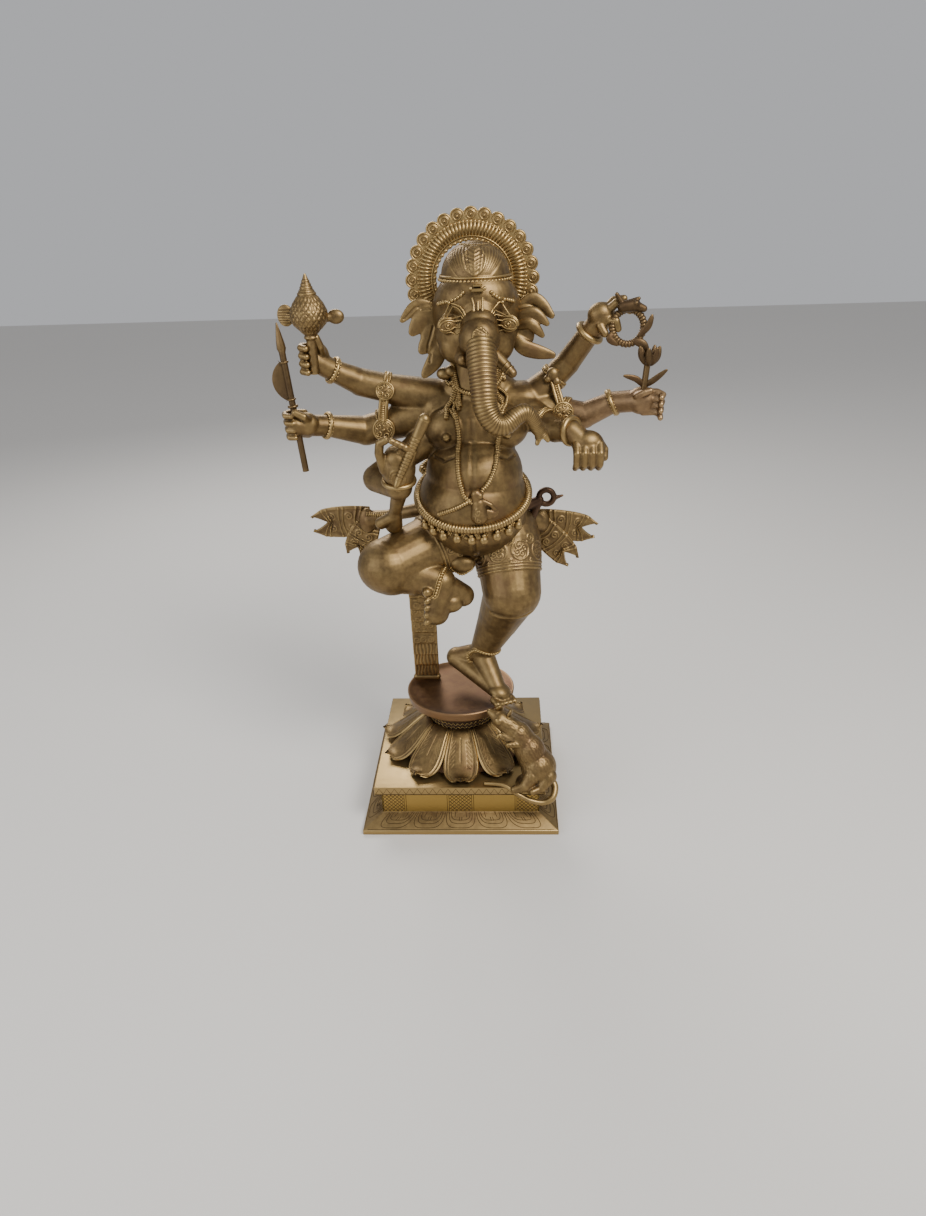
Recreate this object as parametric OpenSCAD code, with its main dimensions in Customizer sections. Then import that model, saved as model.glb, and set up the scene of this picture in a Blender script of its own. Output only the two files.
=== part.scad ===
// Dancing six-armed elephant-headed figure, cast in brass sections.
// The figure stands on one leg on a dish, over a lotus pedestal and a square hollow plinth.
// +X runs along the plinth's front edge to the viewer's right, -Y faces the viewer, +Z is up.
// The origin is the centre of the plinth's underside.

/* [Plinth] */
// Width of the square plinth at the floor
plinth_w = 309; // [290:1:380]
// Height of the plain lip at the floor
lip_h = 8; // [5:0.5:14]
// Height of the sloping skirt above the lip
skirt_h = 14; // [8:0.5:24]
// Height of the upright band
band_h = 40; // [25:1:60]
// Height of the overhanging rim
rim_h = 14; // [9:0.5:24]
// How far the band stands in from the lip on each side
band_inset = 30; // [20:1:40]
// How far the rim overhangs the band
rim_over = 10; // [4:1:15]
// Wall of the hollow plinth casting
plinth_wall = 7; // [4:0.5:10]

/* [Lotus pedestal and dish] */
// Height of the lotus pedestal
pedestal_h = 83; // [65:1:110]
// Radius of the ring of petal tips
petal_reach = 134; // [115:1:150]
// Number of petals
petals = 11; // [8:1:14]
// Radius of the neck under the dish
neck_r = 53; // [42:1:64]
// Radius of the dish
dish_r = 87.5; // [76:0.5:105]
// Thickness of the dish
dish_t = 21; // [17:0.5:30]
// Depth of the hollow in the dish
dish_dip = 6; // [3:0.5:9]
// Radius of the tie bolt
bolt_r = 8; // [6:0.5:12]

/* [Body] */
// Height of the pelvis above the dish
pelvis_up = 275; // [240:1:330]
// Radius of the belly
belly_r = 80; // [68:1:96]
// Radius of the chest
chest_r = 64; // [55:1:76]
// Height of the chest's centre above the belly's centre
chest_up = 105; // [90:1:125]
// Radius of the neck
throat_r = 33; // [27:1:40]
// Radius of the thighs at the hem of the shorts
thigh_r = 46; // [38:1:55]
// Radius of the standing leg's knee
knee_r = 44; // [36:1:54]
// Radius of the ankles
ankle_r = 20; // [16:1:25]

/* [Head] */
// Radius of the head
head_r = 60; // [50:1:70]
// Height of the head's centre above the neck joint
head_up = 62; // [56:1:76]
// Radius of the trunk where it leaves the face
trunk_r = 25; // [20:1:30]
// Radius of the trunk's tip
trunk_tip_r = 7; // [5:0.5:10]
// Outer radius of the halo's plate
halo_r = 84; // [72:1:100]
// Inner radius of the halo
halo_in = 49; // [42:1:58]
// Thickness of the halo
halo_t = 11; // [8:0.5:16]
// Number of rosettes round the halo
rosettes = 21; // [15:2:27]
// Radius of one rosette
rosette_r = 9.5; // [7:0.5:12]

/* [Arms and joints] */
// Radius of an arm at its joint
arm_r = 20; // [17:0.5:25]
// Radius of a wrist
wrist_r = 15; // [12:0.5:19]
// Radius of a tenon on a limb
tenon_r = 9; // [7:0.5:11]
// Length of a tenon on a limb
tenon_l = 22; // [18:1:26]
// Clearance round a tenon, and at its end
fit_gap = 0.1; // [0.05:0.05:0.3]
// Radius of a cross pin
pin_r = 2.5; // [2:0.5:3.5]

/* [Axe] */
// Radius of the axe's shaft
shaft_r = 4.5; // [3.5:0.5:6]
// Clearance round the shaft in the fist
shaft_gap = 0.35; // [0.2:0.05:0.6]
// Length of the shaft below the middle of the fist
shaft_below = 66; // [50:1:80]
// Length of the shaft above the middle of the fist
shaft_above = 104; // [90:1:125]

/* [Hidden] */

// How far below the middle of the fist the bore's cutter starts, clear of the fist.
bore_below = 60;

brass = [0.55, 0.43, 0.25];
rubbed = [0.72, 0.58, 0.32];
dark = [0.33, 0.25, 0.17];
fine = 48;

// heights of the base
skirt_z = lip_h + skirt_h;
rim_z = skirt_z + band_h;
plinth_h = rim_z + rim_h;
dish_z = plinth_h + pedestal_h;
stand_z = dish_z + dish_t;
band_w = plinth_w - 2 * band_inset;
rim_w = band_w + 2 * rim_over;

// the body's centres, each one from the one below it
pelvis = [36, 0, stand_z + pelvis_up];
belly = pelvis + [-6, -22, 50];
chest = belly + [5, 22, chest_up];
collar = chest + [4, -4, 92];
skull = collar + [2, -10, head_up];

// where each limb leaves the torso, and where its casting starts
function unit(v) = v / norm(v);
function beyond(root, joint, reach) = joint + reach * unit(joint - root);

standing_root = pelvis + [40, 0, -9];
standing_joint = standing_root + [6, -28, -50];
knee = beyond(standing_root, standing_joint, 30);
raised_root = pelvis + [-16, 0, 1];
raised_joint = raised_root + [-64, -34, -20];
raised_knee = beyond(raised_root, raised_joint, 56);

conch_root = chest + [-65, 5, 43];
conch_joint = conch_root + [-60, -5, 16];
conch_elbow = beyond(conch_root, conch_joint, 36);
conch_wrist = conch_elbow + [-34, -16, 20];
conch_hand = conch_wrist + [-23, -10, 16];

axe_root = chest + [-60, 5, 22];
axe_joint = axe_root + [-72, -5, -17];
axe_elbow = beyond(axe_root, axe_joint, 26);
axe_wrist = axe_elbow + [-50, -28, 15];
axe_hand = axe_wrist + [-38, -22, 7];

tusk_root = chest + [-50, -10, 0];
tusk_joint = tusk_root + [-46, -18, -30];
tusk_elbow = beyond(tusk_root, tusk_joint, 56);
tusk_wrist = tusk_elbow + [36, -42, 0];
tusk_palm = tusk_wrist + [2, -10, 42];

noose_root = chest + [86, 5, 42];
noose_joint = noose_root + [26, 0, 26];
noose_elbow = beyond(noose_root, noose_joint, 26);
noose_wrist = noose_elbow + [28, -16, 42];
noose_hand = noose_wrist + [16, -10, 20];

lotus_root = chest + [82, 0, 28];
lotus_joint = lotus_root + [46, -14, -6];
lotus_elbow = beyond(lotus_root, lotus_joint, 26);
lotus_wrist = lotus_elbow + [38, -4, 18];
lotus_hand = lotus_wrist + [34, -18, 6];

lowered_root = chest + [66, -10, 26];
lowered_joint = lowered_root + [30, -26, -12];
lowered_elbow = beyond(lowered_root, lowered_joint, 22);
lowered_wrist = lowered_elbow + [20, -20, 2];
lowered_hand = lowered_wrist + [22, -12, -18];

// the standing foot, tied to the dish's edge
toe = [dish_r - 17, -54, stand_z + 9];
heel = [-6, 20, stand_z + 44];
ankle = [36, 2, stand_z + 62];
foot_peg = [toe[0] - 6, toe[1] + 6, stand_z];
foot_peg_r = 5;
foot_peg_l = 15;

// the raised foot
raised_ankle = raised_knee + [74, -14, -20];
raised_heel = raised_ankle + [30, 12, -28];
raised_toes = raised_ankle + [-12, -12, -56];

// the fist that holds the axe, and the shaft's lean
finger_r = 6;
shaft_lean = -5;
fist_r = 21;
boss_up = 24;
collar_gap = 0.3;

// the lotus pedestal's hollow
pedestal_wall = 8;
nut_h = 10;
bolt_head_h = 8;

// A point on a limb's skin at its joint, on the side that faces a given way.
function facing(root, joint, r, way) =
    let (d = unit(joint - root)) joint + r * unit(way - (way * d) * d);

// Turns a shape drawn along +Z so that it runs from a to b.
module along(a, b) {
    v = b - a;
    translate(a)
        rotate([0, acos(v[2] / norm(v)), atan2(v[1], v[0])])
            children();
}

// A limb with two round ends, ra at a and rb at b.
module limb(a, ra, b, rb) {
    len = norm(b - a);
    along(a, b)
        rotate_extrude($fn = fine)
            polygon(concat(round_end(-ra, ra, 0), reverse(round_end(rb, rb, len))));
}

// The outline of a limb's round end, from its pole to its full radius.
function round_end(pole, r, up) = [for (t = [0, 35, 65, 90]) [r * sin(t), up + pole * cos(t)]];
function reverse(list) = [for (i = [len(list) - 1:-1:0]) list[i]];

// A tapering bar from a to b, with flat ends that lie inside the joints it runs between.
module taper(a, ra, b, rb) {
    along(a, b) cylinder(r1 = ra, r2 = rb, h = norm(b - a), $fn = fine);
}

// A round joint.
module ball(at, r) {
    translate(at) sphere(r = r, $fn = 64);
}

// A plain round bar from a to b.
module bar(a, b, r) {
    along(a, b) cylinder(r = r, h = norm(b - a), $fn = fine);
}

// A smooth curve through the points, with a number of steps from each to the next.
function spline_point(p0, p1, p2, p3, t) =
    0.5 * (2 * p1 + (p2 - p0) * t + (2 * p0 - 5 * p1 + 4 * p2 - p3) * t * t
        + (3 * p1 - p0 - 3 * p2 + p3) * t * t * t);
function spline(points, steps) =
    let (last = len(points) - 1)
    concat([for (i = [0:last - 1], k = [0:steps - 1])
        spline_point(points[max(0, i - 1)], points[i], points[i + 1],
            points[min(last, i + 2)], k / steps)],
        [points[last]]);

// A tube along a path: one ring of points at each place, turned as little as possible from ring to ring.
function ring_side(path, i) =
    let (ahead = unit(path[min(i + 1, len(path) - 1)] - path[max(i - 1, 0)]),
        side = i == 0 ? cross(ahead, abs(ahead[0]) < 0.8 ? [1, 0, 0] : [0, 0, 1]) : ring_side(path, i - 1))
    unit(side - (side * ahead) * ahead);
module tube(path, radii, sides = 16) {
    last = len(path) - 1;
    rings = [for (i = [0:last])
        let (ahead = unit(path[min(i + 1, last)] - path[max(i - 1, 0)]), side = ring_side(path, i),
            other = cross(ahead, side))
        for (j = [0:sides - 1])
            let (turn = 360 * j / sides) path[i] + radii[i] * (cos(turn) * side + sin(turn) * other)];
    walls = [for (i = [0:last - 1], j = [0:sides - 1])
        let (k = (j + 1) % sides, low = i * sides, high = low + sides)
        [low + j, high + j, high + k, low + k]];
    ends = [[for (j = [0:sides - 1]) j], [for (j = [sides - 1:-1:0]) last * sides + j]];
    polyhedron(rings, concat(walls, ends));
}

// The socket that a stub has for a tenon, with the hole for the cross pin.
module socket(root, joint, r_out) {
    len = norm(joint - root);
    along(root, joint) {
        translate([0, 0, len - tenon_l - fit_gap])
            cylinder(r = tenon_r + fit_gap, h = tenon_l + fit_gap + 1, $fn = fine);
        pin_bar(len, r_out);
    }
}

// The space of a cross pin, in the frame of its stub.
module pin_bar(len, r_out) {
    translate([-r_out - 1, 0, len - tenon_l / 2])
        rotate([0, 90, 0])
            cylinder(r = pin_r, h = 2 * r_out + 2, $fn = fine);
}

// A tenon on a limb, with the hole for its cross pin.
module tenon(root, joint) {
    len = norm(joint - root);
    along(root, joint)
        difference() {
            translate([0, 0, len - tenon_l])
                cylinder(r = tenon_r, h = tenon_l + 1, $fn = fine);
            pin_bar(len, tenon_r);
        }
}

// A cross pin, flush inside its stub.
module cross_pin(root, joint, r_out) {
    len = norm(joint - root);
    sunk = 2;
    along(root, joint)
        translate([-r_out + sunk, 0, len - tenon_l / 2])
            rotate([0, 90, 0])
                cylinder(r = pin_r, h = 2 * (r_out - sunk), $fn = fine);
}

// A ring round the line from a to b, centred on a.
module band_ring(a, b, r_mid, r_wire) {
    along(a, b)
        rotate_extrude($fn = fine)
            translate([r_mid, 0])
                circle(r = r_wire, $fn = 24);
}

// A square frustum with exact flat sides.
module frustum(w0, w1, h) {
    intersection() {
        rotate([90, 0, 0])
            linear_extrude(w0 + 2, center = true)
                polygon([[-w0 / 2, 0], [w0 / 2, 0], [w1 / 2, h], [-w1 / 2, h]]);
        rotate([90, 0, 90])
            linear_extrude(w0 + 2, center = true)
                polygon([[-w0 / 2, 0], [w0 / 2, 0], [w1 / 2, h], [-w1 / 2, h]]);
    }
}

module square_block(w, z, h) {
    translate([-w / 2, -w / 2, z]) cube([w, w, h]);
}

// ---- base ----

module plinth() {
    color(rubbed)
        difference() {
            union() {
                square_block(plinth_w, 0, lip_h);
                translate([0, 0, lip_h]) frustum(plinth_w, band_w, skirt_h);
                square_block(band_w, skirt_z, band_h);
                square_block(rim_w, rim_z, rim_h);
            }
            square_block(plinth_w - 2 * plinth_wall, -1, lip_h + 1);
            translate([0, 0, lip_h - 0.01])
                frustum(plinth_w - 2 * plinth_wall, band_w - 2 * plinth_wall, skirt_h);
            square_block(band_w - 2 * plinth_wall, skirt_z - 0.1, plinth_h - skirt_z - plinth_wall + 0.1);
            cylinder(r = bolt_r + fit_gap, h = plinth_h + 1, $fn = fine);
            mouse_peg_at(mouse_peg_r + fit_gap, plinth_wall + 2);
        }
}

// The bell of the lotus under the petals, hollow and open onto the plinth's top.
module lotus_pedestal() {
    petal_low_r = 14;
    petal_top_r = 13;
    cap_h = 26;
    waist_h = 34;
    bell_r = petal_reach - 34;
    hollow_r = bell_r - 12;
    hollow_top_r = neck_r - pedestal_wall - 8;
    bore_r = bolt_r + fit_gap;
    color(brass)
        difference() {
            union() {
                translate([0, 0, plinth_h])
                    rotate_extrude($fn = fine)
                        polygon([[bore_r, pedestal_h], [bore_r, pedestal_h - cap_h],
                            [hollow_top_r, pedestal_h - cap_h], [hollow_r, 0], [bell_r, 0], [bell_r - 2, 14],
                            [neck_r + 14, pedestal_h - waist_h], [neck_r, pedestal_h - 14],
                            [neck_r, pedestal_h]]);
                for (i = [0:petals - 1])
                    rotate([0, 0, -89 + i * 360 / petals])
                        limb([neck_r + 10, 0, plinth_h + pedestal_h - 36], petal_top_r,
                            [petal_reach - petal_low_r, 0, plinth_h + petal_low_r], petal_low_r);
            }
            translate([0, 0, plinth_h - 0.01])
                cylinder(r1 = hollow_r, r2 = hollow_top_r, h = pedestal_h - cap_h, $fn = fine);
        }
}

// The shallow dish that the figure dances on.
module dish() {
    lip = 5;
    slope = 22;
    color(brass)
        difference() {
            translate([0, 0, dish_z])
                rotate_extrude($fn = 96)
                    polygon([[0, 0], [neck_r + 4, 0], [dish_r - 6, 5], [dish_r, 11], [dish_r, dish_t],
                        [dish_r - lip, dish_t], [dish_r - lip - slope, dish_t - dish_dip],
                        [0, dish_t - dish_dip]]);
            translate([0, 0, dish_z - 1])
                cylinder(r = bolt_r, h = dish_t - dish_dip - 4, $fn = fine);
            translate([foot_peg[0], foot_peg[1], stand_z - foot_peg_l - fit_gap])
                cylinder(r = foot_peg_r + fit_gap, h = foot_peg_l + 2, $fn = fine);
        }
}

// The bolt that ties plinth, pedestal and dish together from below.
module tie_bolt() {
    top = dish_z + dish_t - dish_dip - 5;
    foot = plinth_h - plinth_wall - nut_h - 8;
    color(dark)
        translate([0, 0, foot])
            cylinder(r = bolt_r, h = top - foot, $fn = fine);
}

module tie_nut() {
    color(dark)
        difference() {
            translate([0, 0, plinth_h - plinth_wall - nut_h])
                cylinder(r = 2 * bolt_r, h = nut_h, $fn = 6);
            translate([0, 0, plinth_h - plinth_wall - nut_h - 1])
                cylinder(r = bolt_r, h = nut_h + 2, $fn = fine);
        }
}

// ---- figure ----

module torso() {
    color(brass)
        difference() {
            union() {
                translate(belly) sphere(r = belly_r, $fn = 72);
                along(belly, chest)
                    cylinder(r1 = belly_r * 0.86, r2 = chest_r * 0.93, h = chest_up, $fn = fine);
                translate(chest) sphere(r = chest_r, $fn = 72);
                limb(chest + [-46, 5, 30], 32, chest + [62, 3, 32], 32);
                bar(chest, collar, throat_r);
                for (hip = [[standing_root, standing_joint], [raised_root, raised_joint]]) {
                    translate(hip[0]) sphere(r = thigh_r + 5, $fn = 64);
                    bar(hip[0], hip[1], thigh_r);
                }
                bar(conch_root, conch_joint, arm_r);
                bar(axe_root, axe_joint, arm_r + 2);
                bar(tusk_root, tusk_joint, arm_r - 1);
                bar(noose_root, noose_joint, arm_r - 2);
                bar(lotus_root, lotus_joint, arm_r - 1);
                bar(lowered_root, lowered_joint, arm_r - 1);
            }
            socket(chest, collar, throat_r);
            socket(standing_root, standing_joint, thigh_r);
            socket(raised_root, raised_joint, thigh_r);
            socket(conch_root, conch_joint, arm_r);
            socket(axe_root, axe_joint, arm_r + 2);
            socket(tusk_root, tusk_joint, arm_r - 1);
            socket(noose_root, noose_joint, arm_r - 2);
            socket(lotus_root, lotus_joint, arm_r - 1);
            socket(lowered_root, lowered_joint, arm_r - 1);
        }
}

module standing_leg() {
    sole = toe + [-8, 8, 7];
    color(brass) {
        taper(standing_joint, thigh_r, knee, knee_r - 2);
        ball(knee, knee_r);
        taper(knee, knee_r - 5, ankle, ankle_r - 2);
        ball(ankle, ankle_r);
        taper(ankle, ankle_r - 3, sole, 12);
        ball(heel, 17);
        taper(heel, 14, sole, 11);
        ball(sole, 15);
        limb(toe + [-8, -8, 0], 8, toe + [12, 2, 0], 8);
        translate([foot_peg[0], foot_peg[1], stand_z - foot_peg_l])
            cylinder(r = foot_peg_r, h = foot_peg_l + 10, $fn = fine);
        tenon(standing_root, standing_joint);
    }
}

module raised_leg() {
    toe_r = 7;
    color(brass) {
        taper(raised_joint, thigh_r, raised_knee, thigh_r - 4);
        ball(raised_knee, thigh_r - 2);
        taper(raised_knee, thigh_r - 7, raised_ankle, ankle_r - 2);
        ball(raised_ankle, ankle_r + 1);
        taper(raised_ankle, ankle_r - 1, raised_toes, 14);
        ball(raised_toes, 17);
        taper(raised_ankle, ankle_r - 2.5, raised_heel, 14);
        ball(raised_heel, 16.5);
        for (i = [0:3])
            ball(raised_ankle + [-17 - 2 * i, -17, -8 - i * 14], toe_r);
        tenon(raised_root, raised_joint);
    }
}

// The drape that falls from the raised leg to the dish and holds the leg up.
module support_drape() {
    foot = [-58, 40, stand_z - dish_dip];
    top = raised_ankle + [-34, 38, -30];
    width = 42;
    thick = 15;
    color(dark)
        along(foot, top)
            translate([-thick / 2, -width / 2, 0])
                cube([thick, width, norm(top - foot)]);
}

// ---- head ----

module head() {
    color(brass) {
        translate(collar) cylinder(r = throat_r, h = head_up * 0.6, $fn = fine);
        limb(skull + [0, 4, -4], head_r - 6, skull + [0, 0, 18], head_r - 2);
        limb(skull + [-24, -14, -28], 30, skull + [24, -14, -28], 30);
        tenon(chest, collar);
    }
}

// The trunk, which hangs, swings to one side and dips at its tip.
module trunk() {
    steps = 4;
    line = [[5, -34, 6], [5, -62, -8], [7, -92, -62], [15, -108, -118],
        [34, -112, -142], [58, -104, -124], [74, -96, -110], [92, -86, -140]];
    path = spline([for (p = line) skull + p], steps);
    shrink = (trunk_r - trunk_tip_r) / (len(path) - 1);
    color(brass) tube(path, [for (i = [0:len(path) - 1]) trunk_r - i * shrink]);
}

// One ear as a stepped leaf, drawn outwards along +X and up along +Y.
module ear_leaf(thick) {
    rotate([90, 0, 0])
        linear_extrude(thick, center = true)
            polygon([[-12, -34], [-8, 20], [8, 27], [26, 22], [40, 2], [27, 6], [29, -8], [19, -8],
                [22, -22], [13, -24], [20, -46], [2, -62], [-10, -52]]);
}

module ear_left() {
    color(brass)
        translate(skull + [-62, 4, -12])
            mirror([1, 0, 0])
                ear_leaf(9);
}

module ear_right() {
    color(brass)
        translate(skull + [62, 4, -12])
            ear_leaf(9);
}

module tusk() {
    color(rubbed)
        limb(skull + [32, -48, -44], 9, skull + [56, -62, -66], 6);
}

module tusk_stub() {
    color(rubbed)
        limb(skull + [-28, -50, -48], 9, skull + [-26, -70, -52], 8);
}

// The cap of hair above the brow band.
module crown_cap() {
    color(brass)
        translate(skull + [0, 2, 42])
            difference() {
                sphere(r = 52, $fn = 72);
                translate([-70, -70, -140]) cube([140, 140, 140]);
                translate([0, -2, -24]) sphere(r = head_r - 2, $fn = 72);
            }
}

// The upright fan behind the head, with a rosette at the end of every group of ribs.
module halo() {
    centre = skull + [-6, 62, 42];
    from_angle = -42;
    to_angle = 222;
    color(brass) {
        translate(centre)
            rotate([90, 0, 0])
                linear_extrude(halo_t)
                    difference() {
                        circle(r = halo_r, $fn = 96);
                        circle(r = halo_in, $fn = 96);
                        polygon([[0, 0], 2 * halo_r * [cos(from_angle), sin(from_angle)],
                            [2 * halo_r, -3 * halo_r], [-2 * halo_r, -3 * halo_r],
                            2 * halo_r * [cos(to_angle), sin(to_angle)]]);
                    }
        for (i = [0:rosettes - 1]) {
            t = from_angle + 4 + i * (to_angle - from_angle - 8) / (rosettes - 1);
            translate(centre + (halo_r - 1.5) * [cos(t), 0, sin(t)] + [0, 1, 0])
                rotate([90, 0, 0])
                    cylinder(r = rosette_r, h = halo_t + 2, $fn = 32);
        }
        // the strap across the back of the head that carries the fan
        translate(centre + [-halo_r * 0.74, -8, -54])
            cube([halo_r * 1.48, 8, 14]);
    }
}

// ---- arms ----

module arm_casting(root, joint, r_joint, elbow, wrist, hand, r_hand) {
    taper(joint, r_joint, elbow, r_joint - 2);
    ball(elbow, r_joint);
    taper(elbow, r_joint - 2.5, wrist, wrist_r - 1);
    ball(wrist, wrist_r + 0.5);
    taper(wrist, wrist_r - 1.5, hand, r_hand - 3);
    ball(hand, r_hand);
    tenon(root, joint);
}

// Fingers stacked side by side, curled round a line through the hand.
module finger_stack(centre, step, side, fold, count) {
    for (i = [0:count - 1]) {
        at = centre + (i - (count - 1) / 2) * step;
        bar(at + side, at + fold, finger_r);
    }
}

module conch_arm() {
    path = spline([conch_joint, conch_elbow, conch_wrist, conch_hand], 3);
    color(brass) {
        tube(path, [for (i = [0:len(path) - 1]) arm_r - i * 0.5]);
        ball(conch_hand, 18);
        tenon(conch_root, conch_joint);
        finger_stack(conch_hand, [-1, 0, 13.5], [-6, -2, 2], [-15, -20, 2], 3);
    }
}

module axe_arm() {
    color(brass)
        difference() {
            union() {
                taper(axe_joint, arm_r + 2, axe_elbow, arm_r);
                ball(axe_elbow, arm_r + 1.5);
                taper(axe_elbow, arm_r - 1.5, axe_hand, 14);
                ball(axe_hand, fist_r);
                tenon(axe_root, axe_joint);
                finger_stack(axe_hand, [0, 0, 10], [-12, 9, 0], [-15, -13, 0], 4);
                translate(axe_hand) rotate([0, shaft_lean, 0]) cylinder(r = 10, h = boss_up, $fn = fine);
            }
            translate(axe_hand)
                rotate([0, shaft_lean, 0])
                    translate([0, 0, -bore_below])
                        cylinder(r = shaft_r + shaft_gap, h = bore_below + boss_up + 1, $fn = fine);
        }
}

module tusk_arm() {
    color(brass) {
        taper(tusk_joint, arm_r - 1, tusk_elbow, arm_r - 2);
        ball(tusk_elbow, arm_r + 0.5);
        taper(tusk_elbow, arm_r - 3, tusk_wrist, wrist_r + 1);
        ball(tusk_wrist, wrist_r + 4);
        taper(tusk_wrist, wrist_r + 1.5, tusk_palm, 18);
        ball(tusk_palm, 22);
        bar(tusk_palm + [-14, -2, 0], tusk_palm + [-17, -6, 28], 7);
        tenon(tusk_root, tusk_joint);
    }
}

module noose_arm() {
    color(brass) {
        arm_casting(noose_root, noose_joint, arm_r - 2, noose_elbow, noose_wrist, noose_hand, 16);
        limb(noose_hand, 14, noose_hand + [22, -10, 16], 7);
    }
}

module lotus_arm() {
    color(brass) {
        arm_casting(lotus_root, lotus_joint, arm_r - 1, lotus_elbow, lotus_wrist, lotus_hand, 18);
        finger_stack(lotus_hand, [0, 0, 9], [10, 4, -4], [28, -8, -4], 4);
    }
}

module lowered_arm() {
    color(brass) {
        arm_casting(lowered_root, lowered_joint, arm_r - 1,
            lowered_elbow, lowered_wrist, lowered_hand, 19);
        finger_stack(lowered_hand, [10, 0, 0], [0, -10, -2], [0, -6, -26], 4);
    }
}

module conch_pin() { color(dark) cross_pin(conch_root, conch_joint, arm_r); }
module axe_pin() { color(dark) cross_pin(axe_root, axe_joint, arm_r + 2); }
module tusk_pin() { color(dark) cross_pin(tusk_root, tusk_joint, arm_r - 1); }
module noose_pin() { color(dark) cross_pin(noose_root, noose_joint, arm_r - 2); }
module lotus_pin() { color(dark) cross_pin(lotus_root, lotus_joint, arm_r - 1); }
module lowered_pin() { color(dark) cross_pin(lowered_root, lowered_joint, arm_r - 1); }
module head_pin() { color(dark) cross_pin(chest, collar, throat_r); }
module standing_pin() { color(dark) cross_pin(standing_root, standing_joint, thigh_r); }
module raised_pin() { color(dark) cross_pin(raised_root, raised_joint, thigh_r); }

// ---- what the hands hold ----

module conch() {
    foot = conch_hand + [2, -14, -16];
    color(rubbed)
        translate(foot) {
            cylinder(r = 7, h = 50, $fn = fine);
            translate([0, 0, 73]) sphere(r = 27, $fn = 64);
            translate([0, 0, 94]) cylinder(r1 = 15, r2 = 9, h = 14, $fn = fine);
            translate([0, 0, 107]) cylinder(r1 = 8, r2 = 1, h = 22, $fn = fine);
            for (side = [-1, 1])
                translate([side * 34, 8, 74])
                    rotate([90, 0, 0])
                        cylinder(r = 11, h = 7, $fn = fine);
        }
}

// The axe: shaft, resting collar, crescent blade and spear point, drawn about the middle of the fist.
module axe() {
    blade_low = 34;
    blade_high = 88;
    spear_l = 34;
    blade_mid = (blade_low + blade_high) / 2;
    color(dark)
        translate(axe_hand)
            rotate([0, shaft_lean, 0]) {
                translate([0, 0, -shaft_below])
                    cylinder(r = shaft_r, h = shaft_below + shaft_above, $fn = fine);
                translate([0, 0, boss_up + collar_gap])
                    cylinder(r = shaft_r + 3, h = 4, $fn = fine);
                translate([0, 0, shaft_above])
                    cylinder(r1 = shaft_r + 2, r2 = 1, h = spear_l, $fn = fine);
                rotate([90, 0, 0])
                    linear_extrude(5, center = true)
                        intersection() {
                            translate([12, blade_mid]) circle(r = 33, $fn = 64);
                            translate([-40, blade_low]) square([38, blade_high - blade_low]);
                        }
            }
}

// The noose: a loop of rope that ends in an animal's head.
module noose() {
    centre = noose_hand + [32, -14, -10];
    color(dark) {
        translate(centre)
            rotate([90, 0, 0])
                rotate_extrude($fn = fine)
                    translate([21, 0]) circle(r = 5, $fn = 24);
        limb(centre + [-6, -2, 26], 10, centre + [16, -2, 28], 6);
        limb(centre + [-24, 0, 28], 4, centre + [-14, 0, 18], 5);
    }
}

module lotus_bud() {
    foot = lotus_hand + [4, -4, 8];
    color(dark) {
        limb(foot, 5, foot + [4, 0, 40], 4.5);
        limb(foot + [1, 0, 14], 3, foot + [-24, -4, 26], 2.5);
        limb(foot + [1, 0, 14], 3, foot + [28, -4, 30], 2.5);
        limb(foot + [4, 0, 44], 11, foot + [8, 0, 58], 8);
    }
}

// The broken tusk that the front hand holds against the shoulder.
module broken_tusk() {
    color(brass)
        limb(tusk_palm + [8, -16, 4], 8, tusk_palm + [40, -12, 64], 13);
}

// The short post that carries the front hand from the thigh.
module hand_post() {
    color(brass)
        limb(tusk_wrist + [0, 4, -10], 9, tusk_wrist + [-16, 40, -72], 11);
}

// ---- ornaments ----

module armlet_left() {
    upper = facing(conch_root, conch_joint, arm_r + 2, [0, -1, 0]);
    lower = facing(axe_root, axe_joint, arm_r + 4, [0, -1, 0]);
    color(rubbed) {
        band_ring(conch_joint, conch_root, arm_r, 4);
        band_ring(axe_joint, axe_root, arm_r + 2, 4);
        bar(upper, lower, 5);
        for (place = [upper, lower])
            translate(place) rotate([90, 0, 0]) cylinder(r = 12, h = 6, $fn = fine);
    }
}

module armlet_right() {
    knot = facing(noose_root, noose_joint, arm_r - 1, [-0.3, -1, 0]);
    medal = facing(lotus_root, lotus_joint, arm_r + 2, [0, -1, 0.2]);
    tail = facing(lowered_root, lowered_joint, arm_r, [-1, 0, 0]);
    color(rubbed) {
        band_ring(noose_joint, noose_root, arm_r - 2, 4);
        band_ring(lotus_joint, lotus_root, arm_r - 1, 4);
        band_ring(lowered_joint, lowered_root, arm_r - 1, 4);
        bar(knot, medal, 5);
        bar(medal, tail, 5);
        translate(medal) rotate([90, 0, 0]) cylinder(r = 13, h = 8, $fn = fine);
    }
}

module bangle(wrist, from, r) {
    color(rubbed) band_ring(wrist, from, r, 4.5);
}

module conch_bangle() { bangle(conch_wrist, conch_elbow, wrist_r + 1.5); }
module axe_bangle() { bangle(axe_wrist, axe_elbow, wrist_r + 1.5); }
module tusk_bangle() { bangle(tusk_wrist + [1, -3, 10], tusk_palm, wrist_r + 6); }
module noose_bangle() { bangle(noose_wrist, noose_elbow, wrist_r + 1.5); }
module lotus_bangle() { bangle(lotus_wrist, lotus_elbow, wrist_r + 1.5); }
module lowered_bangle() { bangle(lowered_wrist, lowered_elbow, wrist_r + 1.5); }
module standing_anklet() { bangle(ankle + [2, 0, 2], heel + [30, 20, 60], ankle_r + 2); }
module raised_anklet() { bangle(raised_ankle, raised_knee, ankle_r + 1); }

module necklace() {
    color(rubbed)
        band_ring(collar + [-2, -16, -30], collar + [-2, -46, 20], throat_r + 14, 6);
}

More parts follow.
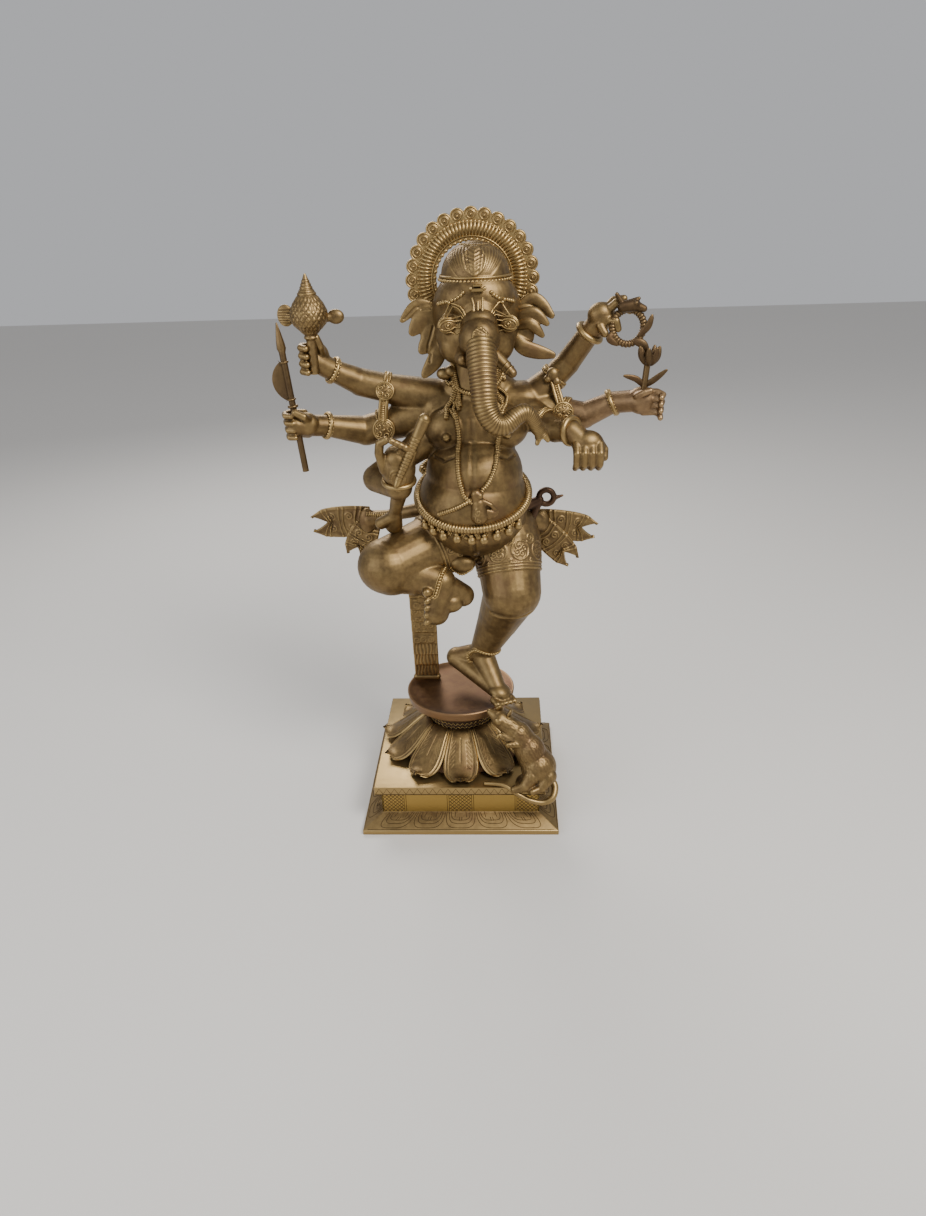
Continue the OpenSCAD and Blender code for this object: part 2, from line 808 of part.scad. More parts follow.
// A cord that lies on the chest, through four places.
module chest_cord(places) {
    color(rubbed)
        tube(spline(places, 4), [for (i = [0:12]) 3.5], 12);
}

module sacred_cord() {
    chest_cord([chest + [40, -46, 30], belly + [22, -72, 46],
        belly + [-14, -80, 22], belly + [-46, -68, 6]]);
}

module neck_cord() {
    chest_cord([chest + [-24, -58, 22], chest + [-20, -64, -18],
        belly + [-14, -74, 44], belly + [2, -80, 26]]);
}

// The snake belt and its row of bells.
module snake_belt() {
    middle = belly + [-3, 10, 24];
    tilt = 24;
    bells = 9;
    color(rubbed) {
        translate(middle)
            rotate([tilt, 0, 0])
                rotate_extrude($fn = 96)
                    translate([belly_r + 2, 0]) circle(r = 6, $fn = 24);
        for (i = [0:bells - 1]) {
            t = -90 + (i - (bells - 1) / 2) * 11;
            translate(middle)
                rotate([tilt, 0, 0])
                    rotate([0, 0, t])
                        translate([belly_r + 1, 0, -12])
                            sphere(r = 7, $fn = 32);
        }
    }
}

module pendant() {
    color(brass) {
        limb(belly + [12, -80, 4], 13, belly + [10, -78, 24], 9);
        translate(belly + [8, -78, 40]) sphere(r = 8, $fn = 32);
        limb(belly + [14, -78, 30], 3.5, belly + [30, -78, 10], 4);
    }
}

module loincloth() {
    color(dark)
        limb(pelvis + [-22, -52, -24], 10, pelvis + [-26, -58, -42], 12);
}

// The loop of the sash at the hip, with its pointed end.
module hip_loop() {
    centre = pelvis + [102, 10, 45];
    color(dark) {
        translate(centre)
            rotate([90, 0, 0])
                rotate_extrude($fn = fine)
                    translate([11, 0]) circle(r = 4.5, $fn = 24);
        limb(centre + [-10, 0, -4], 6, pelvis + [66, 6, 30], 9);
        limb(centre + [12, 0, 0], 4, centre + [24, 0, 2], 2);
    }
}

// One swallow-tailed scarf end, drawn outwards along +X.
module scarf_end(l, w) {
    polygon([[0, -w * 0.36], [l * 0.45, -w * 0.5], [l, -w * 0.34], [l * 0.74, 0], [l, w * 0.38],
        [l * 0.45, w * 0.5], [0, w * 0.36]]);
}

module scarf_plate(root, turn_a, l_a, turn_b, l_b) {
    translate(root)
        rotate([90, 0, 0])
            linear_extrude(9, center = true) {
                rotate(turn_a) scarf_end(l_a, 40);
                rotate(turn_b) scarf_end(l_b, 38);
                circle(r = 20, $fn = fine);
            }
}

module scarf_left() {
    root = pelvis + [-180, 30, 6];
    color(rubbed) {
        mirror([1, 0, 0])
            scarf_plate([-root[0], root[1], root[2]], -8, 84, -66, 60);
        limb(root + [10, 0, 6], 8, pelvis + [-44, 14, 42], 12);
    }
}

module scarf_right() {
    root = pelvis + [92, 30, 0];
    color(rubbed) {
        scarf_plate(root, -12, 92, -52, 90);
        limb(root, 8, pelvis + [52, 10, 16], 14);
    }
}

// ---- mouse ----

mouse_foot = [dish_r + 30, -dish_r - 32, plinth_h];
mouse_peg_r = 4;
mouse_peg_l = 12;

module mouse_peg_at(r, down) {
    translate([mouse_foot[0], mouse_foot[1], plinth_h - down])
        cylinder(r = r, h = down + 1, $fn = fine);
}

module mouse() {
    rump = mouse_foot + [6, 2, 28];
    shoulder = mouse_foot + [-24, 14, 82];
    snout = [mouse_foot[0] - 68, mouse_foot[1] + 28, stand_z + 8];
    color(brass)
        difference() {
            union() {
                limb(rump, 29, shoulder, 19);
                limb(shoulder, 18, snout + [16, -6, -10], 14);
                limb(snout + [16, -6, -10], 13, snout, 6);
                translate(mouse_foot + [-4, -6, 0]) cylinder(r = 15, h = 20, $fn = fine);
                limb(shoulder + [-8, -12, -6], 7, shoulder + [-26, -6, 2], 5);
                for (side = [-1, 1])
                    translate(snout + [22, -6 + side * 12, 4]) sphere(r = 7, $fn = 32);
            }
            translate(mouse_foot - [0, 0, 1])
                cylinder(r = mouse_peg_r + fit_gap, h = mouse_peg_l + 1, $fn = fine);
        }
}

module mouse_tail() {
    path = [mouse_foot + [28, 0, 12], mouse_foot + [24, -18, 8], mouse_foot + [6, -22, 5],
        mouse_foot + [-30, -20, 4.2], mouse_foot + [-62, -12, 3.2]];
    color(brass)
        tube(spline(path, 4), [for (i = [0:16]) 6 - i * 0.21], 12);
}

// The peg that holds the mouse on the plinth.
module mouse_peg() {
    color(dark)
        translate([mouse_foot[0], mouse_foot[1], plinth_h - plinth_wall])
            cylinder(r = mouse_peg_r, h = plinth_wall + mouse_peg_l - 1, $fn = fine);
}

plinth();
lotus_pedestal();
dish();
tie_bolt();
tie_nut();
torso();
standing_leg();
raised_leg();
support_drape();
head();
trunk();
ear_left();
ear_right();
tusk();
tusk_stub();
crown_cap();
halo();
conch_arm();
axe_arm();
tusk_arm();
noose_arm();
lotus_arm();
lowered_arm();
conch_pin();
axe_pin();
tusk_pin();
noose_pin();
lotus_pin();
lowered_pin();
head_pin();
standing_pin();
raised_pin();
conch();
axe();
noose();
lotus_bud();
broken_tusk();
hand_post();
armlet_left();
armlet_right();
conch_bangle();
axe_bangle();
tusk_bangle();
noose_bangle();
lotus_bangle();
lowered_bangle();
standing_anklet();
raised_anklet();
necklace();
sacred_cord();
neck_cord();
snake_belt();
pendant();
loincloth();
hip_loop();
scarf_left();
scarf_right();
mouse();
mouse_tail();
mouse_peg();
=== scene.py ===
# %% [markdown]
# The part is a brass figure that dances on a dish, over a lotus and a square plinth. The imported model is
# loaded first as a fixed frame: every new piece is fitted to it and never the other way round.

# %% Load the frame
import math

import bpy
import numpy as np
from mathutils import Matrix, Vector
from mathutils.kdtree import KDTree


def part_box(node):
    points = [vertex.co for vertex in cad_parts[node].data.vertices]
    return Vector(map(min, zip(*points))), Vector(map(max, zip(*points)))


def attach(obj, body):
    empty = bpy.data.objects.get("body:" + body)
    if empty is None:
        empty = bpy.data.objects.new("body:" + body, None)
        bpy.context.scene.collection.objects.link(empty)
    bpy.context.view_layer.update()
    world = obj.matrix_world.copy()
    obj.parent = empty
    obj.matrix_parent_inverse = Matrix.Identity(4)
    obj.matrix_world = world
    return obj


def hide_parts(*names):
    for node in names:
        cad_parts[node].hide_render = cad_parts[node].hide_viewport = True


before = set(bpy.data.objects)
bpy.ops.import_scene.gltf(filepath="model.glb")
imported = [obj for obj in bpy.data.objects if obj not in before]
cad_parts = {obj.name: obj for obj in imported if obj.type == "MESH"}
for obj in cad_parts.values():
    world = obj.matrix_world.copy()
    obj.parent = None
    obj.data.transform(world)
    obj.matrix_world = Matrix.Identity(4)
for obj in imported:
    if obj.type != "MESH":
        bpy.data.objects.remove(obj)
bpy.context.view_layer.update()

# %% [markdown]
# All sizes below are in millimetres and are turned into metres by one small function. A shape is started
# from a primitive, so there is one helper for each start that the figure needs: a round mass, a tapering
# limb, a box. Everything is deselected first, because an operator acts on all that is selected.

# %% Units and first shapes
MM = 0.001
TAU = 2 * math.pi


def mm(x, y, z):
    return Vector((x, y, z)) * MM


def only(*pieces):
    """Selects these pieces and nothing else; the first one is active."""
    bpy.ops.object.select_all(action="DESELECT")
    for piece in pieces:
        piece.select_set(True)
    bpy.context.view_layer.objects.active = pieces[0]
    return pieces[0]


def settle():
    """Puts the active piece's place into its mesh, so that its object sits at the origin."""
    bpy.ops.object.transform_apply(location=True, rotation=True, scale=True)
    return bpy.context.object


def mass(centre, r, shape=(1, 1, 1), turn=(0, 0, 0), fine=32):
    """A round mass of clay: a sphere, squashed by shape and turned by degrees."""
    bpy.ops.object.select_all(action="DESELECT")
    bpy.ops.mesh.primitive_uv_sphere_add(
        segments=fine, ring_count=fine // 2, radius=r * MM, location=centre, scale=shape,
        rotation=[math.radians(t) for t in turn])
    return settle()


def limb(a, ra, b, rb, fine=28):
    """A tapering limb from a to b with round ends."""
    line = b - a
    bpy.ops.object.select_all(action="DESELECT")
    bpy.ops.mesh.primitive_cone_add(
        vertices=fine, radius1=ra * MM, radius2=rb * MM, depth=line.length, location=(a + b) / 2,
        rotation=line.to_track_quat("Z", "Y").to_euler())
    return [settle(), mass(a, ra, fine=fine), mass(b, rb, fine=fine)]


def chain(*stops):
    """Limbs one after the other through stops of (point, radius)."""
    found = []
    for (a, ra), (b, rb) in zip(stops, stops[1:]):
        found += limb(a, ra, b, rb)
    return found


def slab(low, high):
    """A box between two corners."""
    bpy.ops.object.select_all(action="DESELECT")
    bpy.ops.mesh.primitive_cube_add(size=1, location=(low + high) / 2, scale=high - low)
    return settle()


def joined(name, parts):
    """Joins the parts into one piece with this name."""
    piece = only(*parts)
    if len(parts) > 1:
        bpy.ops.object.join()
    piece = bpy.context.object
    piece.name = piece.data.name = name
    return piece


print("first shapes ready")

# %% [markdown]
# The founder's wax was one soft skin, without a seam where a limb meets the body. The same skin comes from
# round masses that overlap: a voxel remesh keeps only their outside, and a little smoothing blends the
# places where they meet. Cords, rings and stems are drawn as a curve with a round section.


# %% Wax skins and drawn wires
def finish_with(kind, **settings):
    """Adds a modifier to the active piece, sets it and applies it."""
    modifier = bpy.context.object.modifiers.new(kind.title(), kind)
    for key, value in settings.items():
        setattr(modifier, key, value)
    bpy.ops.object.modifier_apply(modifier=modifier.name)


def smoothed(piece, angle=None):
    only(piece)
    if angle is None:
        bpy.ops.object.shade_smooth()
    else:
        bpy.ops.object.shade_smooth_by_angle(angle=math.radians(angle))
    return piece


def wax(name, parts, grain=1.6, rounds=5):
    """One skin round all the parts: grain is the size of its faces, rounds is how soft the joints are."""
    piece = only(joined(name, parts))
    finish_with("REMESH", mode="VOXEL", voxel_size=grain * MM)
    finish_with("SMOOTH", factor=0.5, iterations=rounds)
    return smoothed(piece)


def spline(points, steps, closed=False):
    """A smooth line through the points."""
    n = len(points)
    pick = (lambda i: points[i % n]) if closed else (lambda i: points[min(max(i, 0), n - 1)])
    line = []
    for i in range(n if closed else n - 1):
        a, b, c, d = pick(i - 1), pick(i), pick(i + 1), pick(i + 2)
        for k in range(steps):
            t = k / steps
            line.append(0.5 * (2 * b + (c - a) * t + (2 * a - 5 * b + 4 * c - d) * t * t
                               + (3 * b - a - 3 * c + d) * t ** 3))
    return line if closed else line + [points[-1]]


def wire(name, line, radii, closed=False, sides=3):
    """A round wire along a line; radii in millimetres, one for each point or one for all."""
    radii = radii if hasattr(radii, "__len__") else [radii] * len(line)
    bpy.ops.object.select_all(action="DESELECT")
    bpy.ops.curve.primitive_nurbs_path_add(location=(0, 0, 0))
    curve = bpy.context.object
    curve.data.splines.clear()
    drawn = curve.data.splines.new("POLY")
    drawn.points.add(len(line) - 1)
    for point, place, r in zip(drawn.points, line, radii):
        point.co = (*place, 1)
        point.radius = r * MM
    drawn.use_cyclic_u = closed
    curve.data.bevel_depth = 1
    curve.data.bevel_resolution = sides
    curve.data.use_fill_caps = not closed
    bpy.ops.object.convert(target="MESH")
    piece = settle()
    piece.name = piece.data.name = name
    return smoothed(piece)


def walk(line, gap, closed=False):
    """Points spaced evenly along a line, about gap millimetres apart."""
    stops = line + line[:1] if closed else line
    sums = np.concatenate([[0], np.cumsum([(b - a).length for a, b in zip(stops, stops[1:])])])
    count = max(2, round(sums[-1] / MM / gap))
    places = np.linspace(0, sums[-1], count, endpoint=False) if closed else np.linspace(0, sums[-1],
            count + 1)
    flat = np.array([list(p) for p in stops])
    return [Vector([np.interp(s, sums, flat[:, k]) for k in range(3)]) for s in places]


def rope(name, line, r, pitch=3.2, depth=0.16, closed=False):
    """A cord with a rib at every pitch, as a twisted cord shows after casting."""
    steps = 6
    path = walk(line, pitch / steps, closed)
    radii = [r * (1 - depth + 2 * depth * abs(math.sin(math.pi * i / steps))) for i in range(len(path))]
    return wire(name, path, radii, closed)


def copies(name, pattern, places):
    """Copies of a pattern piece, each with its own mesh, at the given matrices, joined."""
    made = []
    for place in places:
        one = pattern.copy()
        one.data = pattern.data.copy()
        one.data.transform(place)
        bpy.context.scene.collection.objects.link(one)
        made.append(one)
    bpy.data.objects.remove(pattern)
    return joined(name, made)


def bead(r, shape=(1, 1, 1), rough=2):
    bpy.ops.object.select_all(action="DESELECT")
    bpy.ops.mesh.primitive_ico_sphere_add(subdivisions=rough, radius=r * MM, scale=shape)
    return smoothed(settle())


def beads(name, line, r, gap, closed=False):
    return copies(name, bead(r), [Matrix.Translation(p) for p in walk(line, gap, closed)])


def ring_line(centre, axis, r, count=64, start=None):
    """A circle round an axis."""
    turn = Vector(axis).to_track_quat("Z", "Y")
    return [centre + turn @ (mm(r * math.cos(TAU * i / count), r * math.sin(TAU * i / count), 0))
            for i in range(count)]


def lathe(name, outline, steps=96, centre=(0, 0)):
    """Turns an outline of (radius, height) points, in millimetres, about an upright axis."""
    mesh = bpy.data.meshes.new(name)
    mesh.from_pydata([mm(centre[0] + r, centre[1], z) for r, z in outline],
                     [(i, i + 1) for i in range(len(outline) - 1)], [])
    piece = bpy.data.objects.new(name, mesh)
    bpy.context.scene.collection.objects.link(piece)
    only(piece)
    bpy.ops.object.mode_set(mode="EDIT")
    bpy.ops.mesh.select_all(action="SELECT")
    bpy.ops.mesh.spin(steps=steps, angle=TAU, center=mm(centre[0], centre[1], 0), axis=(0, 0, 1))
    bpy.ops.mesh.select_all(action="SELECT")
    bpy.ops.mesh.remove_doubles(threshold=0.00002)
    bpy.ops.mesh.normals_make_consistent(inside=False)
    bpy.ops.object.mode_set(mode="OBJECT")
    return smoothed(piece, 35)


def chase(piece, lines, width, height, closed=False):
    """Raises a soft ridge along lines that lie on a piece's skin, or cuts a groove with a height below 0."""
    mesh = piece.data
    spots = [piece.closest_point_on_mesh(p)[1] for line in lines for p in walk(line, width / 3, closed)]
    tree = KDTree(len(spots))
    for i, p in enumerate(spots):
        tree.insert(p, i)
    tree.balance()
    count = len(mesh.vertices)
    co, no = np.empty(count * 3), np.empty(count * 3)
    mesh.vertices.foreach_get("co", co)
    mesh.vertices.foreach_get("normal", no)
    co, no = co.reshape(-1, 3), no.reshape(-1, 3)
    flat = np.array([list(p) for p in spots])
    near = np.all((co > flat.min(0) - width * MM) & (co < flat.max(0) + width * MM), axis=1)
    for i in np.nonzero(near)[0]:
        away = tree.find(co[i])[2] / (width * MM)
        if away < 1:
            co[i] += no[i] * height * MM * (0.5 + 0.5 * math.cos(math.pi * away))
    mesh.vertices.foreach_set("co", co.ravel())
    mesh.update()
    return piece


def spiral(centre, across, up, r, turns=1.6, start=0.0, way=1):
    """A scroll that winds in to its centre, in the plane of across and up."""
    return [centre +
            (across * math.cos(start + way * t * TAU * turns) +
             up * math.sin(start + way * t * TAU * turns))
            * (r * MM * (1 - 0.82 * t)) for t in np.linspace(0, 1, 22)]


print("wax, wire, rope and chasing tools ready")

# %% [markdown]
# Old brass shows three things at once: a brown skin where hands don't reach, bright metal on every ridge
# that is rubbed, and nearly black dirt in the cuts. One recipe makes them all. Cycles knows how sharply
# the surface bends at each point, which gives the ridges and the cuts, and two sizes of noise break up
# the brown with reddish stains. Each slot then has its own brown and its own amount of rubbing.


# %% Brass recipes
class Wire:
    """A socket of a shader tree that ordinary sums can be written with."""

    def __init__(self, tree, socket):
        self.tree, self.socket = tree, socket

    def _sum(self, kind, other, swap=False):
        a, b = (other, self) if swap else (self, other)
        return node(self.tree, "ShaderNodeMath", {"operation": kind}, {0: a, 1: b})

    def __add__(self, other):
        return self._sum("ADD", other)

    def __sub__(self, other):
        return self._sum("SUBTRACT", other)

    def __rsub__(self, other):
        return self._sum("SUBTRACT", other, True)

    def __mul__(self, other):
        return self._sum("MULTIPLY", other)

    __radd__, __rmul__ = __add__, __mul__


def node(tree, kind, settings=None, inputs=None, out=0):
    """Adds a node: its settings first, then the values or wires of its inputs."""
    made = tree.nodes.new(kind)
    for key, value in (settings or {}).items():
        if key == "stops":
            for i, (place, colour) in enumerate(value):
                stop = made.color_ramp.elements[i] if i < 2 else made.color_ramp.elements.new(place)
                stop.position, stop.color = place, (*colour, 1) if hasattr(colour, "__len__") else (colour,
                        ) * 3 + (1,)
        else:
            setattr(made, key, value)
    for key, value in (inputs or {}).items():
        if isinstance(value, Wire):
            tree.links.new(value.socket, made.inputs[key])
        else:
            made.inputs[key].default_value = value
    return Wire(tree, made.outputs[out])


def blend(tree, factor, a, b):
    """A colour between a and b."""
    made = tree.nodes.new("ShaderNodeMix")
    made.data_type = "RGBA"
    for place, value in (("Factor_Float", factor), ("A_Color", a), ("B_Color", b)):
        socket = next(s for s in made.inputs if s.identifier == place)
        if isinstance(value, Wire):
            tree.links.new(value.socket, socket)
        else:
            socket.default_value = (*value, 1) if hasattr(value, "__len__") else value
    return Wire(tree, next(s for s in made.outputs if s.identifier == "Result_Color"))


def brass(name, skin, bright, stain=(0.085, 0.042, 0.026), rubbing=1.0, gloss=0.36, pits=0.25,
          dirt=(0.016, 0.011, 0.008)):
    """Brown skin, bright metal on the ridges, reddish stains and dirt in the cuts."""
    made = bpy.data.materials.new(name)
    made.use_nodes = True
    tree = made.node_tree
    shader = tree.nodes["Principled BSDF"]
    place = node(tree, "ShaderNodeTexCoord", out=3)
    broad = node(tree, "ShaderNodeTexNoise", None,
                 {"Vector": place, "Scale": 14.0, "Detail": 5.0, "Roughness": 0.6})
    small = node(tree, "ShaderNodeTexNoise", None,
                 {"Vector": place, "Scale": 95.0, "Detail": 6.0, "Roughness": 0.65})
    grain = node(tree, "ShaderNodeTexNoise", None, {"Vector": place, "Scale": 620.0, "Detail": 3.0})
    bend = node(tree, "ShaderNodeNewGeometry", out=7)
    ridge = node(tree, "ShaderNodeValToRGB", {"stops": [(0.505, 0.0), (0.56, 1.0)]}, {0: bend})
    cut = node(tree, "ShaderNodeValToRGB", {"stops": [(0.42, 1.0), (0.485, 0.0)]}, {0: bend})
    red = node(tree, "ShaderNodeValToRGB", {"stops": [(0.52, 0.0), (0.66, 0.75)]}, {0: broad})
    worn = node(tree, "ShaderNodeValToRGB", {"stops": [(0.40, 0.0), (0.62, 1.0)]},
                {0: broad * 0.55 + small * 0.45})
    colour = blend(tree, worn * (0.55 * rubbing), skin, bright)
    colour = blend(tree, red * 0.8, colour, stain)
    colour = blend(tree, ridge * (0.8 * rubbing), colour, bright)
    colour = blend(tree, cut * 0.9, colour, dirt)
    tree.links.new(colour.socket, shader.inputs["Base Color"])
    rough = gloss + small * 0.22 + cut * 0.25 - ridge * 0.08
    tree.links.new(rough.socket, shader.inputs["Roughness"])
    metal = 0.96 - cut * 0.45
    tree.links.new(metal.socket, shader.inputs["Metallic"])
    skin_bump = node(tree, "ShaderNodeBump", None,
                     {"Strength": pits, "Distance": 0.0006, "Height": small * 0.6 + grain * 0.4})
    tree.links.new(skin_bump.socket, shader.inputs["Normal"])
    return made


FINISH = {
    "cast_brass": brass("cast_brass", (0.125, 0.080, 0.036), (0.40, 0.275, 0.112)),
    "rubbed_brass": brass("rubbed_brass", (0.17, 0.110, 0.045), (0.46, 0.315, 0.12), rubbing=1.1,
                          gloss=0.32),
    "ornament_brass": brass("ornament_brass", (0.120, 0.076, 0.036), (0.42, 0.290, 0.120), rubbing=1.0,
                            gloss=0.36),
    "dark_brass": brass("dark_brass", (0.070, 0.044, 0.024), (0.22, 0.145, 0.065), rubbing=0.8, gloss=0.42),
    "fixings": brass("fixings", (0.22, 0.16, 0.09), (0.42, 0.32, 0.18), rubbing=0.6, gloss=0.4),
}
GOLD_BAND = brass("gold_band", (0.27, 0.165, 0.042), (0.46, 0.30, 0.085), stain=(0.17, 0.10, 0.035),
                  gloss=0.4)
CHASED = brass("chased_line", (0.042, 0.028, 0.016), (0.13, 0.085, 0.04), rubbing=0.5, gloss=0.5)
# Painted shade: a darker copy of the brass for parts that lie in shade, the lotus bell behind the petals and
# the hip loop.
PAINTED_SHADE_BRASS = brass("shaded_brass", (0.06, 0.035, 0.024), (0.20, 0.12, 0.065), rubbing=0.7, gloss=0.38)
print("finishes", sorted(FINISH))


def show(piece, slot, nodes=(), body="statue", finish=None):
    """Gives a finished piece its metal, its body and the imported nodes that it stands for."""
    piece.data.materials.clear()
    piece.data.materials.append(finish or FINISH[slot])
    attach(piece, body)
    if nodes:
        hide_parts(*nodes)
    print(piece.name, len(piece.data.polygons), "faces")
    return piece


# %% [markdown]
# The pieces are placed from the frame. The plinth's and the dish's heights are read from their boxes, and
# the figure's joints follow one another from the pelvis up, as an armature does under the wax.

# %% The armature
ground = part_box("plinth")[0].z / MM
plinth_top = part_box("plinth")[1].z / MM
dish_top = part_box("dish")[1].z / MM
dish_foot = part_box("dish")[0].z / MM
half_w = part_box("plinth")[1].x / MM
dish_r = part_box("dish")[1].x / MM
pelvis = mm(36, 0, dish_top + 275)
belly = pelvis + mm(-6, -22, 50)
chest = belly + mm(5, 22, 105)
collar = chest + mm(4, -4, 92)
skull = collar + mm(2, -10, 62)
print("pelvis", pelvis, "skull", skull)

# %% [markdown]
# The plinth is one hollow casting: a thin lip, a mitred skirt that slopes in, an upright band and a rim
# that overhangs it. It is drawn up from one box in edit mode, each stage by an extrusion of its top face
# and a change of that face's width. The edges are rounded a little, as a casting's are.


# %% Plinth shell
def raise_top(up, width=None):
    """Extrudes the selected face up, then makes it this wide."""
    bpy.ops.mesh.extrude_region_move(TRANSFORM_OT_translate={"value": (0, 0, up * MM)})
    if width:
        share = width / raise_top.width
        bpy.ops.transform.resize(value=(share, share, 1), center_override=(0, 0, 0))
        raise_top.width = width


def pick_faces(piece, wanted):
    """In edit mode, selects the faces whose centre and normal the test wants."""
    bpy.ops.mesh.select_mode(type="FACE")
    bpy.ops.mesh.select_all(action="DESELECT")
    bpy.ops.object.mode_set(mode="OBJECT")
    for face in piece.data.polygons:
        face.select = wanted(face.center / MM, face.normal)
    bpy.ops.object.mode_set(mode="EDIT")


plinth_w = 2 * half_w
lip_h, skirt_h, band_h, rim_h = 8, 14, 40, 14
band_w = plinth_w - 60
rim_w = band_w + 20
wall = 7
plinth = slab(mm(-half_w, -half_w, 0), mm(half_w, half_w, lip_h))
bpy.ops.object.mode_set(mode="EDIT")
pick_faces(plinth, lambda c, n: n.z > 0.9)
raise_top.width = plinth_w
raise_top(skirt_h, band_w)
raise_top(band_h)
raise_top(0.001, rim_w)
raise_top(rim_h)
pick_faces(plinth, lambda c, n: n.z < -0.9 and c.z < 1)
bpy.ops.mesh.inset(thickness=wall * MM)
bpy.ops.mesh.extrude_region_move(TRANSFORM_OT_translate={"value": (0, 0, lip_h * MM)})
bpy.ops.transform.resize(value=((band_w - 2 * wall) / (plinth_w - 2 * wall),) * 2 + (1,),
                         center_override=(0, 0, 0))
bpy.ops.mesh.extrude_region_move(TRANSFORM_OT_translate={"value": (0, 0, (plinth_top - lip_h - wall) * MM)})
bpy.ops.object.mode_set(mode="OBJECT")
only(plinth)
finish_with("BEVEL", width=1.4 * MM, segments=2, limit_method="ANGLE", angle_limit=math.radians(30))
plinth.name = "plinth_casting"
show(smoothed(plinth, 40), "cast_brass", ["plinth"])

# %% [markdown]
# The band between skirt and rim is bright, with a crosshatched panel at its middle and at each corner and
# a pair of upright lines beside each panel. The skirt has petals with a double outline, and the rim has a
# zigzag. A chaser cuts these lines; here each is a fine dark wire that lies half in the surface, which
# stays sharp where a cut in a coarse mesh would blur. One side is drawn and turned to the other three.


# %% Chased lines of the plinth
def four_sides(lines):
    """The same lines on all four sides of the plinth."""
    return [[Matrix.Rotation(q * math.pi / 2, 3,
                             "Z") @ p for p in line] for line in lines for q in range(4)]


def wires(name, lines, r):
    return joined(name, [wire(name, line, r, sides=1) for line in lines])


def hatch(x0, x1, z0, z1, gap, y):
    """Diagonal lines both ways, clipped to a panel."""
    lines = []
    for way in (1, -1):
        c = -(z1 - z0)
        while c < x1 - x0:
            a, b = max(0, c), min(x1 - x0, c + z1 - z0)
            if b - a > 1:
                ends = [(a, a - c), (b, b - c)]
                lines.append([mm(x0 + p if way > 0 else x1 - p, y, z0 + q) for p, q in ends])
            c += gap
    return lines


band_y = -band_w / 2
band_low, band_top = lip_h + skirt_h + 1.5, lip_h + skirt_h + band_h - 1.5
panel_half, panel_edge = 17, band_w / 2 - 34
band_lines = []
for x0, x1 in ((-panel_half, panel_half), (panel_edge, band_w / 2 - 1), (1 - band_w / 2, -panel_edge)):
    band_lines += hatch(x0, x1, band_low, band_top, 6.5, band_y)
for x in (panel_half + 1, panel_half + 4, panel_edge - 1, panel_edge - 4):
    band_lines += [[mm(s * x, band_y, band_low), mm(s * x, band_y, band_top)] for s in (1, -1)]

rim_y = -rim_w / 2
rim_low, rim_top = plinth_top - rim_h + 2, plinth_top - 2
teeth = 44
rim_lines = [[mm(-rim_w / 2 + 2 + (rim_w - 4) * i / teeth, rim_y, rim_top if i % 2 else rim_low)
              for i in range(teeth + 1)],
             [mm(-rim_w / 2 + 2, rim_y, rim_low - 1), mm(rim_w / 2 - 2, rim_y, rim_low - 1)]]


def on_skirt(x, t):
    """A place on the front of the skirt, t from 0 at the lip to 1 at the band."""
    return mm(x * (1 - t * 60 / plinth_w), -half_w + 30 * t, lip_h + skirt_h * t)


skirt_petals = 5
petal_pitch = (plinth_w - 26) / skirt_petals
skirt_lines = [[on_skirt(-half_w + 6, 0.06), on_skirt(half_w - 6, 0.06)]]
for k in range(skirt_petals):
    middle = (k - (skirt_petals - 1) / 2) * petal_pitch
    for inset in (0, 5, 9):
        half = petal_pitch / 2 - 1.5 - inset
        skirt_lines.append([on_skirt(middle + half * math.copysign(abs(math.cos(a)) ** 0.55, math.cos(a)),
                                     0.97 - (0.82 - inset * 0.045) * abs(math.sin(a)) ** 0.8)
                            for a in np.linspace(0, math.pi, 25)])
    for x in range(-10, 11, 4):
        skirt_lines.append([on_skirt(middle + x, 0.5 + 0.006 * x * x), on_skirt(middle + x * 1.05, 0.72)])
show(wires("plinth_chasing", four_sides(band_lines + rim_lines + skirt_lines), 0.55), "cast_brass",
     finish=CHASED)

band_plates = []
for q in range(4):
    plate = slab(mm(-band_w / 2 - 0.25, -band_w / 2 - 0.25, lip_h + skirt_h + 0.6),
                 mm(band_w / 2 + 0.25, -band_w / 2 + 2, lip_h + skirt_h + band_h - 0.6))
    plate.data.transform(Matrix.Rotation(q * math.pi / 2, 4, "Z"))
    band_plates.append(plate)
show(joined("plinth_band", band_plates), "rubbed_brass", finish=GOLD_BAND)

# %% [markdown]
# The lotus is a bell with eleven petals that droop from the neck to the plinth. A petal is a sheet that
# widens, domes across and ends in a rolled point, so it is a fine grid whose points are placed by three
# curves: how far out, how high and how wide. Its two raised outlines and its vein are part of the same
# grid. Solidify gives the sheet the wall of a casting.

# %% Lotus petals
neck_r, petal_reach, petals = 53, 134, 11
pedestal_h = dish_foot - plinth_top


